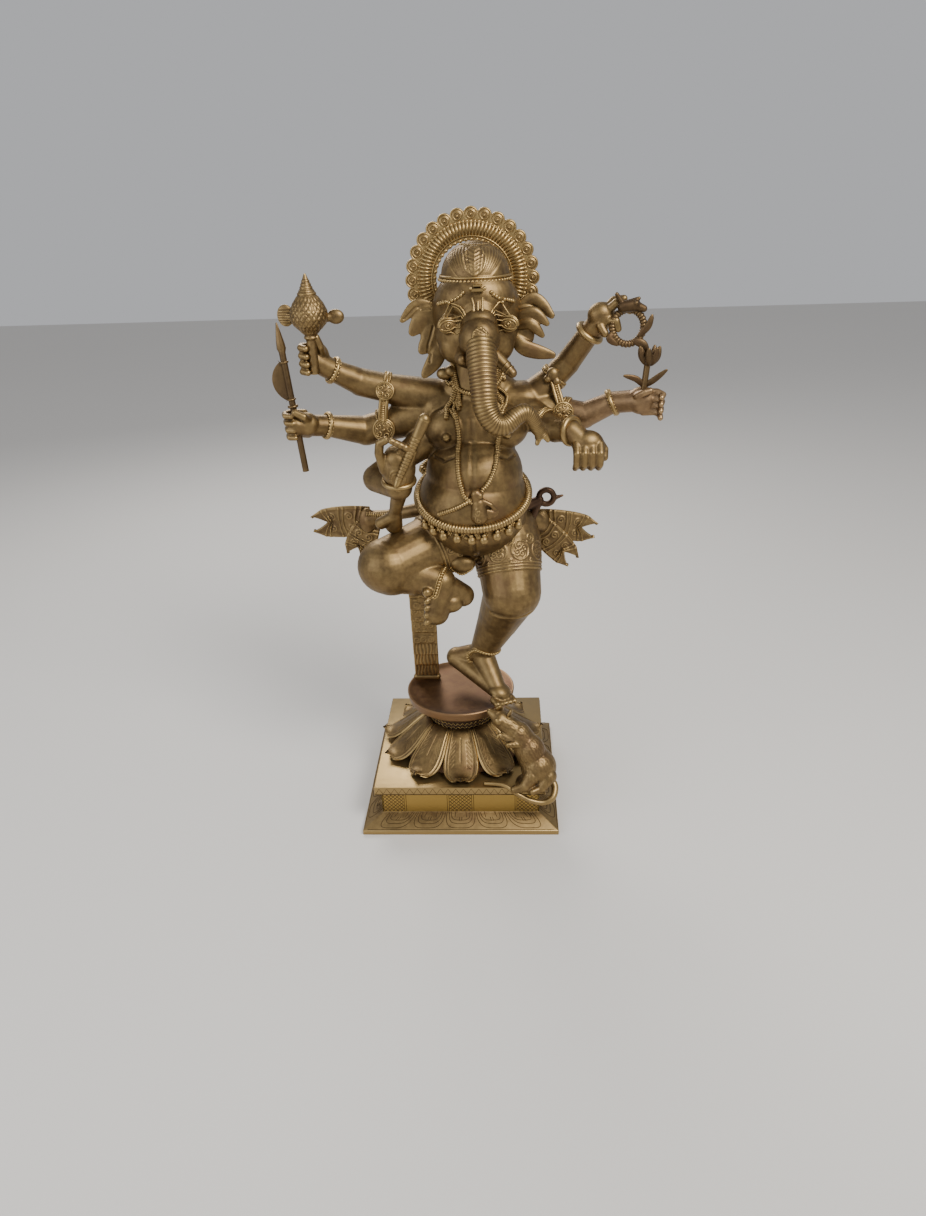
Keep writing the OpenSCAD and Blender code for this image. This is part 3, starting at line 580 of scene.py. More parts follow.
def petal_place(u, v):
    """A point of the petal: u runs from the neck to the tip, v across it."""
    s = math.sin(u * math.pi / 2)
    out = neck_r + 3 + (petal_reach - neck_r - 6) * (0.55 * u + 0.45 * u * u * (2 - u))
    up = 7 + (pedestal_h - 34) * (1 - s ** 1.9) + 4 * max(0, (u - 0.9) / 0.1) ** 2
    wide = out * math.pi / petals * (1.02 if u < 0.5 else 1.02 - 0.25 * (u - 0.5))
    wide *= 1 if u < 0.5 else math.sqrt(max(0.0, 1 - ((u - 0.5) / 0.5) ** 2.4))
    edge = abs(v)
    dome = 7 * (1 - edge ** 2.2) * (0.2 + 0.8 * u)
    lines = 1.5 * math.exp(-((edge - 0.93) / 0.05) ** 2) + 1.1 * math.exp(-((edge - 0.76) / 0.035) ** 2)
    tip = max(0.0, (u - 0.5) / 0.5)
    lines *= 1 - 0.6 * tip ** 4
    vein = -0.9 * math.exp(-(v / 0.025) ** 2) * (1 if 0.25 < u < 0.62 else 0)
    barb = -0.7 * (0.34 < edge < 0.62) * (0.5 +
                                          0.5 * math.cos(TAU * (u * 15 - edge * 5))) * (0.3 < u < 0.72)
    nub = 4 * math.exp(-((u - 0.93) / 0.06) ** 2 - (v / 0.45) ** 2)
    rise = dome + lines + vein + barb + nub
    lean = Vector((0.55 + 0.2 * u, 0, 0.75)).normalized()
    return mm(out, v * wide, plinth_top + up) + lean * rise * MM


def petal():
    bpy.ops.object.select_all(action="DESELECT")
    bpy.ops.mesh.primitive_grid_add(x_subdivisions=72, y_subdivisions=56, size=2)
    piece = bpy.context.object
    for point in piece.data.vertices:
        point.co = petal_place((point.co.x + 1) / 2, point.co.y)
    only(piece)
    finish_with("SOLIDIFY", thickness=3.2 * MM, offset=-1)
    return smoothed(piece, 60)


ring = copies("lotus_petals", petal(), [Matrix.Rotation(math.radians(-89 + 360 * i / petals), 4, "Z")
                                       for i in range(petals)])
show(ring, "cast_brass", ["lotus_pedestal"])
# Painted shade: the bell behind the petals is made of the dark shaded brass, so the gaps between the petals
# read as shade.
bell = lathe("lotus_bell",
             [(30, dish_foot - 0.2), (neck_r, dish_foot - 0.2), (neck_r + 0.8, dish_foot - 3),
              (neck_r - 1, dish_foot - 6),
                            (neck_r, dish_foot - 26), (neck_r + 2, dish_foot - 31),
                            (neck_r + 16, dish_foot - 40),
                            (petal_reach - 38, plinth_top + 14), (petal_reach - 34, plinth_top + 0.3),
                            (60, plinth_top + 0.3)])
show(bell, "dark_brass", finish=PAINTED_SHADE_BRASS)

chevrons = []
for row in (0, 1):
    for k in range(46):
        a, b, c = (TAU * (k + s) / 46 for s in (0, 0.5, 1))
        z = dish_foot - 17 - row * 6
        chevrons.append([mm((neck_r + 1) * math.cos(t), (neck_r + 1) * math.sin(t), z - d) for t,
                         d in ((a, 0), (b, 4), (c, 0))])
show(wires("neck_chevrons", chevrons, 0.6), "rubbed_brass")

# %% [markdown]
# The dish is turned: a thin raised edge, a shallow hollow and a rounded underside. Its outline is spun
# about the upright axis.

# %% Dish
dish = lathe("dish_casting", [
    (0, dish_foot), (neck_r + 12, dish_foot), (dish_r - 8, dish_foot + 2.5), (dish_r - 2, dish_foot + 8),
    (dish_r - 0.3, dish_top - 4), (dish_r - 0.3, dish_top - 1), (dish_r - 1.5, dish_top),
    (dish_r - 3.5, dish_top - 0.4),
    (dish_r - 8, dish_top - 3.4), (dish_r - 18, dish_top - 5.4), (dish_r - 30, dish_top - 6),
    (0, dish_top - 6)])
show(dish, "cast_brass", ["dish"],
     finish=brass("dish_brass", (0.115, 0.062, 0.033), (0.26, 0.155, 0.075), stain=(0.105, 0.046, 0.03),
                  gloss=0.38))

# %% [markdown]
# The torso is one wax: a round belly, a chest with soft breasts, wide shoulders, a short neck and the
# stubs that carry the limbs. Small masses are added for the nipples and the folds are cut afterwards
# along lines on the skin, as a modeller cuts them with a wire.

# %% Where the limbs run
standing_root = pelvis + mm(40, 0, -9)
standing_joint = standing_root + mm(6, -28, -50)
raised_root = pelvis + mm(-16, 0, 1)
raised_joint = raised_root + mm(-64, -34, -20)


def beyond(root, joint, reach):
    return joint + (joint - root).normalized() * reach * MM


knee = beyond(standing_root, standing_joint, 30)
raised_knee = beyond(raised_root, raised_joint, 56)
raised_ankle = raised_knee + mm(74, -14, -20)
raised_heel = raised_ankle + mm(30, 12, -28)
raised_toes = raised_ankle + mm(-12, -12, -56)
toe = mm(dish_r - 17, -54, dish_top + 9)
heel = mm(-6, 20, dish_top + 44)
ankle = mm(36, 2, dish_top + 62)

ROOTS = {
    "conch": chest + mm(-65, 5, 43), "axe": chest + mm(-60, 5, 22), "tusk": chest + mm(-50, -10, 0),
    "noose": chest + mm(86, 5, 42), "lotus": chest + mm(82, 0, 28), "lowered": chest + mm(66, -10, 26)}
REACH = {"conch": (-60, -5, 16), "axe": (-72, -5, -17), "tusk": (-46, -18, -30),
         "noose": (26, 0, 26), "lotus": (46, -14, -6), "lowered": (30, -26, -12)}
JOINTS = {name: ROOTS[name] + mm(*REACH[name]) for name in ROOTS}
FORE = {"conch": 36, "axe": 26, "tusk": 56, "noose": 26, "lotus": 26, "lowered": 22}
ELBOWS = {name: beyond(ROOTS[name], JOINTS[name], FORE[name]) for name in ROOTS}
WRISTS = {"conch": ELBOWS["conch"] + mm(-34, -16, 20), "axe": ELBOWS["axe"] + mm(-50, -28, 15),
          "tusk": ELBOWS["tusk"] + mm(36, -42, 0), "noose": ELBOWS["noose"] + mm(28, -16, 42),
          "lotus": ELBOWS["lotus"] + mm(38, -4, 18), "lowered": ELBOWS["lowered"] + mm(20, -20, 2)}
HANDS = {"conch": WRISTS["conch"] + mm(-23, -10, 16), "axe": WRISTS["axe"] + mm(-38, -22, 7),
         "tusk": WRISTS["tusk"] + mm(2, -10, 42), "noose": WRISTS["noose"] + mm(16, -10, 20),
         "lotus": WRISTS["lotus"] + mm(34, -18, 6), "lowered": WRISTS["lowered"] + mm(22, -12, -18)}
ARM_R = {"conch": 20, "axe": 22, "tusk": 19, "noose": 18, "lotus": 19, "lowered": 19}
for name, place in HANDS.items():
    print(name, [round(x / MM) for x in place])

# %% Torso
torso_parts = [
    mass(belly, 80, (1.0, 1.0, 0.99), fine=64),
    mass(belly + mm(3, -3, 44), 71, (0.98, 0.95, 0.9), fine=48),
    mass(chest, 63, (1.02, 0.94, 1.0), fine=48),
    mass(chest + mm(-33, -34, 6), 34, (1.05, 0.8, 0.92)),
    mass(chest + mm(40, -33, 8), 34, (1.05, 0.8, 0.92)),
    mass(chest + mm(4, 8, 52), 46, (1.25, 0.8, 0.7)),
]
torso_parts += limb(chest + mm(-52, 5, 30), 32, chest + mm(70, 3, 32), 32)
torso_parts += limb(chest + mm(3, -2, 20), 40, collar + mm(0, 0, 6), 33)
torso_parts += limb(standing_root, 51, standing_joint, 46)
torso_parts += limb(raised_root, 51, raised_joint, 46)
for name in ROOTS:
    torso_parts += limb(ROOTS[name] + (ROOTS[name] - JOINTS[name]) * 0.2, ARM_R[name] + 9, JOINTS[name],
                        ARM_R[name])
torso_parts += [mass(chest + mm(-38, -62, 2), 6), mass(chest + mm(46, -60, 4), 6)]
torso_parts += [mass(pelvis + mm(10, 40, -4), 46), mass(pelvis + mm(-22, 34, 2), 40)]
torso = wax("torso_casting", torso_parts, grain=1.7, rounds=6)
chase(torso, [[chest + mm(-62, -46, -26), chest + mm(-40, -66, -32), chest + mm(-18, -64, -29)],
              [chest + mm(26, -64, -28), chest + mm(48, -60, -30), chest + mm(66, -44, -24)]], 4, -2.4)
chase(torso,
      [spline([belly + mm(x, -80, -18 - 0.012 * (22 - abs(x)) ** 2 - 6) for x in (-22, -11, 0, 11, 22)],
              4)], 3.4, -2.6)
chase(torso, [[belly + mm(1, -78, -28), belly + mm(2, -66, -52), belly + mm(3, -50, -66)]], 5, -3)
chase(torso, [[belly + mm(-9, -79, -30), belly + mm(1, -79, -27), belly + mm(11, -79, -30)]], 3.5, 2)
chase(torso, [[chest + mm(-4, -50, 22), chest + mm(-2, -62, -10), belly + mm(2, -80, 30)]], 7, -1.6)
show(torso, "cast_brass", ["torso"])

# %% [markdown]
# The legs have soft, heavy shapes without muscles: a wide thigh, a knee with one crease, a calf that
# bulges behind and narrows fast to the ankle. The standing foot is on the ball of its toes with the heel
# high; the raised foot hangs with its toes in a row.

# %% Standing leg
calf = (knee + ankle) / 2
sole = toe + mm(-8, 8, 7)
standing_parts = limb(standing_joint, 46.5, knee, 44.5)
standing_parts += chain((knee, 43), (calf + mm(4, 6, 4), 33), (ankle, 20))
standing_parts += [mass(calf + mm(6, 13, 14), 30, (1, 1, 1.35))]
standing_parts += limb(ankle, 19, sole, 14) + limb(heel, 17, sole, 13) + limb(heel, 16, ankle, 17)
standing_parts += [mass(sole + mm(2, -1, 2), 16, (1.15, 1.1, 0.75), (0, 18, -35))]
for k in range(5):
    base = toe + mm(-16 + 7.2 * k, -8 + 2.6 * k, 1 + (1 if k == 0 else 0))
    tip = base + mm(6.5 - k * 0.4, -9.5 + k * 0.6, -3)
    standing_parts += limb(base, 6.2 if k == 0 else 4.6, tip, 5.6 if k == 0 else 4.2, fine=16)
standing = wax("standing_leg_casting", standing_parts, grain=1.6, rounds=4)
crease = [knee + mm(34 * math.cos(a) + 4, 34 * math.sin(a) - 2,
                    -26 + 5 * math.cos(2 * a)) for a in np.linspace(-2.7, -0.4, 12)]
chase(standing, [crease], 4.5, -2.6)
show(standing, "cast_brass", ["standing_leg"])

# %% Raised leg
raised_parts = limb(raised_joint, 46, raised_knee, 44)
raised_parts += [mass(raised_knee + mm(-4, -4, 2), 43, (1.06, 1, 0.98))]
raised_parts += chain((raised_knee, 42),
                      (raised_knee + (raised_ankle - raised_knee) * 0.5 + mm(-2, 6, -3), 32),
                      (raised_ankle, 21))
raised_parts += limb(raised_ankle, 21, raised_toes + mm(3, 3, 10), 19) + limb(raised_ankle + mm(4, 2, -8),
        20, raised_heel, 17)
raised_parts += [mass((raised_heel + raised_toes) / 2 + mm(2, 0, 10), 19, (1.1, 1, 0.9))]
for k in range(5):
    base = raised_ankle + mm(-14 - k * 0.6, -13, -9 - k * 11.5)
    tip = base + mm(-6.5, -9, 2 if k == 0 else -1)
    raised_parts += limb(base, 8 if k == 0 else 6, tip, 7 if k == 0 else 5.2, fine=16)
raised = wax("raised_leg_casting", raised_parts, grain=1.6, rounds=4)
show(raised, "cast_brass", ["raised_leg"])

# %% [markdown]
# The shorts are a second skin over the thighs, a millimetre and a half proud, that ends in a double hem
# above the knee. Scrolls are chased into them: round medallions filled with a spiral on the standing
# thigh, and waves on the raised one.


# %% Shorts
def sleeve(name, root, joint, reach, r0, r1, proud):
    """A finely meshed sleeve round a thigh, with its hem at reach beyond the joint."""
    end = beyond(root, joint, reach)
    body = limb(root + (joint - root) * 0.15, r0 + proud, end, r1 + proud)
    piece = wax(name, body, grain=1.15, rounds=3)
    axis = (joint - root).normalized()
    only(piece)
    bpy.ops.object.mode_set(mode="EDIT")
    bpy.ops.mesh.select_all(action="SELECT")
    bpy.ops.mesh.bisect(plane_co=end, plane_no=axis, clear_outer=True, use_fill=True)
    bpy.ops.object.mode_set(mode="OBJECT")
    return smoothed(piece, 50), axis, end


def round_thigh(centre, axis, r, count=60):
    return ring_line(centre, axis, r, count)


def medallion(piece, centre, axis, r, width, height):
    """A ring with a four-leaf scroll inside, chased on a skin."""
    across = axis.cross((centre - thigh_middle(centre, axis)).normalized()).normalized()
    up = axis
    lines = [[centre + (across * math.cos(t) + up * math.sin(t)) * r * MM for t in np.linspace(0, TAU, 30)]]
    for k in range(4):
        t = TAU * k / 4 + 0.4
        lines.append(spiral(centre + (across * math.cos(t) + up * math.sin(t)) * r * 0.45 * MM, across, up,
                            r * 0.42, 1.3, t))
    return lines


def thigh_middle(point, axis):
    """The place on the standing thigh's middle line that is level with a point."""
    return standing_root + axis * (point - standing_root).dot(axis)


shorts, axis, hem = sleeve("standing_shorts", standing_root, standing_joint, 4, 51, 46.5, 1.6)
side = Vector((0, -1, 0)) - axis * Vector((0, -1, 0)).dot(axis)
side.normalize()
turn_side = axis.cross(side)
for k in (2.5, 7, 11.5):
    chase(shorts, [round_thigh(hem - axis * k * MM, axis, 47)], 1.8, 1.3 if k != 7 else 0.8, True)
scrolls = []
for k in range(9):
    t = TAU * k / 9 + 0.25
    out = side * math.cos(t) + turn_side * math.sin(t)
    scrolls += medallion(shorts, hem - axis * 29 * MM + out * 50 * MM, axis, 14, 1.4, 1)
    t += TAU / 18
    out = side * math.cos(t) + turn_side * math.sin(t)
    for up, r in ((47, 9), (15.5, 2.5)):
        spot = hem - axis * up * MM + out * 51 * MM
        scrolls.append(spiral(spot, axis.cross(out), axis, r, 1.5, k))
chase(shorts, scrolls, 1.7, 1.15)
show(shorts, "ornament_brass")

raised_shorts, axis, hem = sleeve("raised_shorts", raised_root, raised_joint, -8, 51, 46.5, 1.6)
side = (Vector((0, -0.5, 1)) - axis * Vector((0, -0.5, 1)).dot(axis)).normalized()
turn_side = axis.cross(side)
for k in (2.5, 7):
    chase(raised_shorts, [round_thigh(hem - axis * k * MM, axis, 47)], 2, 1.3, True)
scrolls = []
for row in range(4):
    for k in range(12):
        t = TAU * (k + 0.5 * (row % 2)) / 12
        out = side * math.cos(t) + turn_side * math.sin(t)
        scrolls.append(spiral(hem - axis * (15 + 13 * row) * MM + out * 48 * MM, axis.cross(out), axis, 7,
                              1.6, k + row, 1 if k % 2 else -1))
chase(raised_shorts, scrolls, 1.7, 1.1)
show(raised_shorts, "ornament_brass")

# %% [markdown]
# A drape falls behind the raised foot and holds the leg up from the dish. It is a thick strip with swirls
# chased into its upper half and upright folds below, with a rolled foot.

# %% Support drape
drape_foot = mm(-58, 40, dish_top - 6)
drape_top = raised_ankle + mm(-34, 38, -30)
run = drape_top - drape_foot
drape_body = []
for t in np.linspace(0, 1, 9):
    c = drape_foot + run * t
    drape_body.append(slab(c + mm(-20, -5.5, -12), c + mm(20, 5.5, 12)))
drape_body += limb(drape_foot + mm(-17, -5, 5), 6, drape_foot + mm(17, -5, 5), 6)
drape = wax("support_drape_casting", drape_body, grain=1.3, rounds=3)
folds, swirls = [], []
for x in (-16, -10.5, -5, 0.5, 6, 11.5, 16):
    folds.append([drape_foot + run * t + mm(x + 1.2 * math.sin(t * 40 + x), -8,
                                            0) for t in np.linspace(0.07, 0.42, 14)])
for row in range(7):
    for k, x in enumerate((-12, -1, 10)):
        c = drape_foot + run * (0.48 + 0.075 * row) + mm(x + (3 if row % 2 else 0), -8, 0)
        swirls.append(spiral(c, Vector((1, 0, 0)), Vector((0, 0, 1)), 6, 1.5, row + k,
                             1 if (row + k) % 2 else -1))
chase(drape, folds, 2.2, -1.3)
chase(drape, swirls, 1.9, 1.2)
show(drape, "cast_brass", ["support_drape"])

# %% [markdown]
# The head is an elephant's: a wide domed brow, full cheeks that narrow to the neck and heavy-lidded eyes
# under concentric brows. The skin is one wax; eyes, lids and brow lines are added and chased on it. A
# three-lobed mark and a small notch sit on the brow.

# %% Head
def laid(piece, line, over=1.0):
    """A line laid on a piece's skin, over millimetres above it."""
    found = []
    for p in line:
        place, normal = piece.closest_point_on_mesh(p)[1:3]
        found.append(place + normal * over * MM)
    return found


head_parts = [
    mass(skull + mm(0, 6, 6), 60, (1.0, 0.93, 1.0), fine=48),
    mass(skull + mm(0, -14, 26), 50, (1.04, 0.82, 0.78), fine=40),
    mass(skull + mm(0, -20, -18), 45, (1.22, 0.8, 0.9), fine=40),
    mass(skull + mm(-27, -26, -30), 24, (1, 0.9, 1.15)), mass(skull + mm(27, -26, -30), 24, (1, 0.9, 1.15)),
    mass(skull + mm(4, -40, 2), 27, (1.0, 0.8, 1.25)),
    mass(skull + mm(0, -6, -44), 34, (1.05, 0.9, 0.8)),
]
head_parts += limb(collar + mm(0, 2, 2), 33, skull + mm(0, 2, -24), 32)
EYES = [skull + mm(-34, -48, -4), skull + mm(41, -48, -4)]
for eye, s in zip(EYES, (-1, 1)):
    head_parts += [mass(eye + mm(0, 2, 0), 12.5, (1.25, 0.7, 0.95), (0, 0, -s * 24))]
head = wax("head_casting", head_parts, grain=1.25, rounds=5)


def arc(middle, wide, high, start=0.0, end=math.pi, tilt=0.0):
    """An arc in front of the face, from start to end in radians."""
    return [middle + Matrix.Rotation(tilt, 3, "Y") @ mm(wide * math.cos(t), -10, high * math.sin(t))
            for t in np.linspace(start, end, 22)]


face_lines = []
for eye, s in zip(EYES, (-1, 1)):
    tilt = s * 0.22
    for wide, high, r in ((13.5, 8.5, 1.5), (17.5, 15, 1.1), (21, 20.5, 1.1), (24, 26, 1.3)):
        face_lines.append(wire("lid", laid(head, arc(eye, wide, high, 0.05, math.pi - 0.05, tilt), 0.4), r))
    for wide, high, r in ((13.5, -6.5, 1.3), (17.5, -12, 0.9)):
        face_lines.append(wire("lid", laid(head, arc(eye, wide, high, 0.2, math.pi - 0.2, tilt), 0.3), r))
    face_lines.append(wire("iris", laid(head, ring_line(eye + mm(0, -10, 1), (0, 1, 0), 4.6, 20), 0.3), 0.8,
                           True))
    face_lines.append(mass(laid(head, [eye + mm(0, -12, 1)], -0.4)[0], 2.3, fine=12))
for x in (-9, 0, 9):
    top, low = 31 if x else 29, 10 if x else 6
    side = 0.25 * x
    drop = [skull + mm(4 + x * 0.62 + side * (1 - t), -64, top + (low - top) * t) for t in np.linspace(0, 1,
            10)]
    face_lines.append(wire("mark", laid(head, drop, 0.6), [1.3 + 1.3 * (i / 9) ** 2 for i in range(10)]))
    lobe = ring_line(skull + mm(4 + x * 0.75, -64, low), (0, 1, 0), 3.4, 16)
    face_lines.append(wire("mark", laid(head, lobe, 0.6), 1.0, True))
face_lines.append(slab(skull + mm(-4, -61, 38), skull + mm(12, -45, 41.5)))
face_lines.append(slab(skull + mm(-2, -61, 44), skull + mm(10, -45, 46)))
head = joined("head_casting", [head] + [smoothed(piece, 40) for piece in face_lines])
show(head, "cast_brass", ["head"])

# %% Hair cap
cap_z = 52
cap_r = 45
cap_centre = skull + mm(0, 2, cap_z)
bpy.ops.object.select_all(action="DESELECT")
cap = mass(cap_centre, cap_r + 0.5, (1, 1, 0.94), fine=96)
bpy.ops.object.mode_set(mode="EDIT")
bpy.ops.mesh.select_all(action="SELECT")
bpy.ops.mesh.bisect(plane_co=cap_centre, plane_no=(0, 0, 1), clear_inner=True, use_fill=True)
bpy.ops.object.mode_set(mode="OBJECT")
cap.name = "hair_cap"
finish_with("REMESH", mode="VOXEL", voxel_size=1.2 * MM)
finish_with("SMOOTH", factor=0.5, iterations=2)
smoothed(cap)


def cap_point(turn, rise):
    """A place on the cap: turn from the front, rise from its rim to its crown, in degrees."""
    a, b = math.radians(turn - 90), math.radians(rise)
    return cap_centre + mm(cap_r * math.cos(b) * math.cos(a), cap_r * math.cos(b) * math.sin(a),
                           cap_r * math.sin(b))


locks = []
for k in range(-9, 10):
    if abs(k) > 1:
        locks.append([cap_point(k * (3 + 7 * t),
                                4 + 60 * t * (1 - 0.004 * abs(k) * 10 * t)) for t in np.linspace(0, 1, 14)])
for k in range(36):
    locks.append([cap_point(k * 10, r) for r in (62, 68, 74)])
for k in range(10, 27):
    locks.append([cap_point(k * 10, r) for r in range(6, 62, 5)])
chase(cap, locks, 2.0, -1.1)
leaf = [[cap_point(0, r) for r in range(5, 62, 5)]]
for s in (1, -1):
    leaf.append([cap_point(s * 24 * math.sin(math.pi * t) ** 0.8, 4 + 60 * t) for t in np.linspace(0, 1,
            18)])
    for k in range(7):
        leaf.append([cap_point(0, 10 + 7 * k), cap_point(s * (8 + 1.2 * (3 - abs(3 - k)) * 3), 17 + 7 * k)])
chase(cap, leaf, 1.9, 1.0)
chase(cap, [ring_line(cap_centre + mm(0, 0, 38), (0, 0, 1), 19, 60)], 2.4, 1.4, True)
show(cap, "ornament_brass", ["crown_cap"])

band = wire("hair_band", ring_line(cap_centre + mm(0, 0, 0.5), (0, 0, 1), cap_r + 1.6, 96), 1.8, True)
show(band, "ornament_brass")
band_beads = beads("hair_band_beads", ring_line(cap_centre + mm(0, 0, -3.6), (0, 0, 1), cap_r + 3.2, 96),
                   2.3, 5.2, True)
show(band_beads, "ornament_brass")
swags = []
for s in (-1, 1):
    hang = spline([skull + mm(4 + s * 17, -60, 42), skull + mm(4 + s * 31, -56, 29),
                   skull + mm(4 + s * 56, -30, 20)], 8)
    swags += laid(head, walk(hang, 5.4), 0.8)
show(copies("brow_swag_beads", bead(2.7), [Matrix.Translation(p) for p in swags]), "ornament_brass")

# %% [markdown]
# The trunk leaves the face between the eyes, hangs in front of the chest, swings to one side, rises over a
# hump and dips at its tip. It is a wire along that line whose radius changes: thick at the root, thinner to
# the tip, with a rib at every few millimetres. A hump at its root carries a netted oval.

# %% Trunk
trunk_line = spline([skull + mm(*p) for p in (
    (5, -40, -6), (6, -66, -16), (8, -90, -46), (10, -104, -74), (12, -110, -98), (22, -111, -117),
    (36, -109, -121), (50, -104, -112), (62, -98, -108), (72, -93, -117), (79, -89, -131),
    (85, -86, -143))], 24)
trunk_path = walk(trunk_line, 0.8)
trunk_long = len(trunk_path)


def trunk_radius(i):
    t = i / (trunk_long - 1)
    base = 7.2 + 12.8 * (1 - t ** 1.9)
    pitch = 6.0 - 2.2 * t
    rib = abs(math.sin(math.pi * i * 0.8 / pitch)) ** 0.6
    deep = 1.5 * min(1, max(0, (t - 0.14) / 0.04)) * (1 - 0.45 * t)
    flare = 2.2 * math.exp(-((t - 1) / 0.018) ** 2)
    return base - deep * (1 - rib) + flare


trunk = wire("trunk_casting", trunk_path, [trunk_radius(i) for i in range(trunk_long)], sides=18)
tip = trunk_path[-1]
lips = limb(tip + mm(-2, 2, 4), 5.5, tip + mm(-6, -2, -9), 3) + limb(tip + mm(2, 0, 4), 5.5,
        tip + mm(8, -2, -5), 3)
hump = wax("trunk_root_casting", [mass(skull + mm(5, -50, -6), 25, (1.0, 0.95, 1.0), fine=40),
                                 mass(skull + mm(5, -62, -20), 26, (1.04, 1, 1.1), (20, 0, 0), fine=40),
                                 mass(skull + mm(8, -80, -42), 20.5, (1.03, 1, 1.1), (30, 0, 0), fine=40)],
                                 grain=1.1, rounds=4)
net = []
net_mid, net_w, net_h = skull + mm(7, -100, -14), 15, 22
for way in (1, -1):
    for k in range(-6, 7):
        line = []
        for t in np.linspace(-1, 1, 26):
            x, z = net_w * t, net_h * (0.28 * k + way * 0.42 * t)
            if (x / net_w) ** 2 + (z / net_h) ** 2 < 1:
                line.append(net_mid + mm(x, 0, z))
        if len(line) > 1:
            net.append(line)
chase(hump, net, 1.6, 0.75)
chase(hump, [[net_mid + mm(net_w * math.cos(a), 0, net_h * math.sin(a)) for a in np.linspace(0, TAU, 40)]],
      2, 1.0)
show(joined("trunk_casting", [trunk, hump] + lips), "cast_brass", ["trunk"])

# %% [markdown]
# The ears are leaves that open sideways behind the cheeks. One is a stepped leaf with a long lower lobe;
# the other has a dark leaf at the top, two finger lobes and a long lobe that runs to the arm's knot. Each
# lobe is a squashed mass, so that it is thick in the middle and thin at its edge as a cast leaf is.


# %% Ears
def leaf(points, r, thin=0.4, lean=(0, 1, 0)):
    """A flattened lobe along a line: round masses strung closely and pressed flat."""
    line = walk(spline(points, 8), 2.2)
    out = []
    for i, p in enumerate(line):
        t = i / (len(line) - 1)
        size = r * (0.35 + 0.65 * math.sin(math.pi * (0.16 + 0.8 * t)) ** 0.8)
        out.append(mass(p, size, (1, thin, 1), fine=14))
    return out


e = skull + mm(-58, 0, -8)
ear_left = wax("ear_left_casting",
               leaf([e + mm(6, 4, 16), e + mm(-20, 2, 24), e + mm(-42, -3, 6)], 9, 0.34)
               + leaf([e + mm(4, 2, 8), e + mm(-14, 0, 6), e + mm(-29, -3, -10)], 13, 0.3)
               + leaf([e + mm(6, 0, -10), e + mm(-8, -2, -24), e + mm(-17, -5, -34)], 13, 0.3)
               + leaf([e + mm(8, 0, -20), e + mm(2, -3, -44), e + mm(-15, -7, -66)], 12, 0.36)
               + [mass(e + mm(-8, 1, 4), 20, (1, 0.22, 1)), mass(e + mm(-4, -1, -18), 19, (0.8, 0.22, 1.2))]
               + limb(e + mm(8, 2, 14), 7, e + mm(8, 2, -30), 8), grain=1.1, rounds=3)
chase(ear_left, [[e + mm(-2, -9, 22), e + mm(-22, -10, 22), e + mm(-38, -12, 8)],
                 [e + mm(0, -10, -2), e + mm(-8, -10, -26), e + mm(-8, -14, -48)]], 3, -1.4)
show(ear_left, "cast_brass", ["ear_left"])
e = skull + mm(58, 0, -8)
ear_right = wax("ear_right_casting",
                leaf([e + mm(-4, 8, 12), e + mm(20, 10, 26), e + mm(43, 4, 6)], 10, 0.4)
                + leaf([e + mm(-4, -6, 8), e + mm(18, -10, 12), e + mm(36, -12, -2)], 8.5, 0.6)
                + leaf([e + mm(-2, -8, -4), e + mm(14, -12, -2), e + mm(30, -13, -17)], 8, 0.6)
                + leaf([e + mm(-6, -4, -16), e + mm(6, -9, -33), e + mm(44, -8, -44)], 11, 0.42)
                + [mass(e + mm(8, 0, 4), 19, (1, 0.24, 1)), mass(e + mm(4, -4, -16), 18, (0.9, 0.24, 1.1))]
                + limb(e + mm(-6, 2, 12), 7, e + mm(-6, 0, -26), 8), grain=1.1, rounds=3)
show(ear_right, "cast_brass", ["ear_right"])

# %% Tusks
tusk_root = skull + mm(26, -44, -46)
tusk_end = skull + mm(47, -58, -65)
tusk = wax("tusk_casting", limb(tusk_root, 9.5, tusk_end, 6.4), grain=0.9, rounds=2)
chase(tusk,
      [ring_line(tusk_root + (tusk_end - tusk_root) * t, tusk_end - tusk_root, 7.4, 24) for t in (0.62,
              0.84)], 1.6, 0.9, True)
show(tusk, "ornament_brass", ["tusk"])
stub = wax("tusk_stub_casting", limb(skull + mm(-14, -50, -36), 11, skull + mm(-19, -66, -43), 9)
           + [mass(skull + mm(-18, -73, -44), 6.5)], grain=0.9, rounds=3)
show(stub, "ornament_brass", ["tusk_stub"])

# %% [markdown]
# The halo is a fan behind the head: a flat horseshoe with three round ribs for each rosette, a row of
# rosettes with a spiral ring round the rim and a row of beads along the inner edge. One rosette and one
# rib are modelled, then copied round the fan.

# %% Halo
halo_mid = skull + mm(-6, 56, 42)
halo_r, halo_in, rosettes = 84, 49, 21
low_turn, high_turn = math.radians(-42), math.radians(222)


def fan(r, turn, y=0.0):
    return halo_mid + mm(r * math.cos(turn), y, r * math.sin(turn))


def fan_places(count, r, y, ends=4):
    a, b = low_turn + math.radians(ends), high_turn - math.radians(ends)
    return [(fan(r, t, y), t) for t in np.linspace(a, b, count)]


def standing_on_fan(place, turn):
    """Turns a pattern drawn about +Y, with +Z outwards along the fan."""
    return Matrix.Translation(place) @ Matrix.Rotation(math.pi / 2 - turn, 4, "Y")


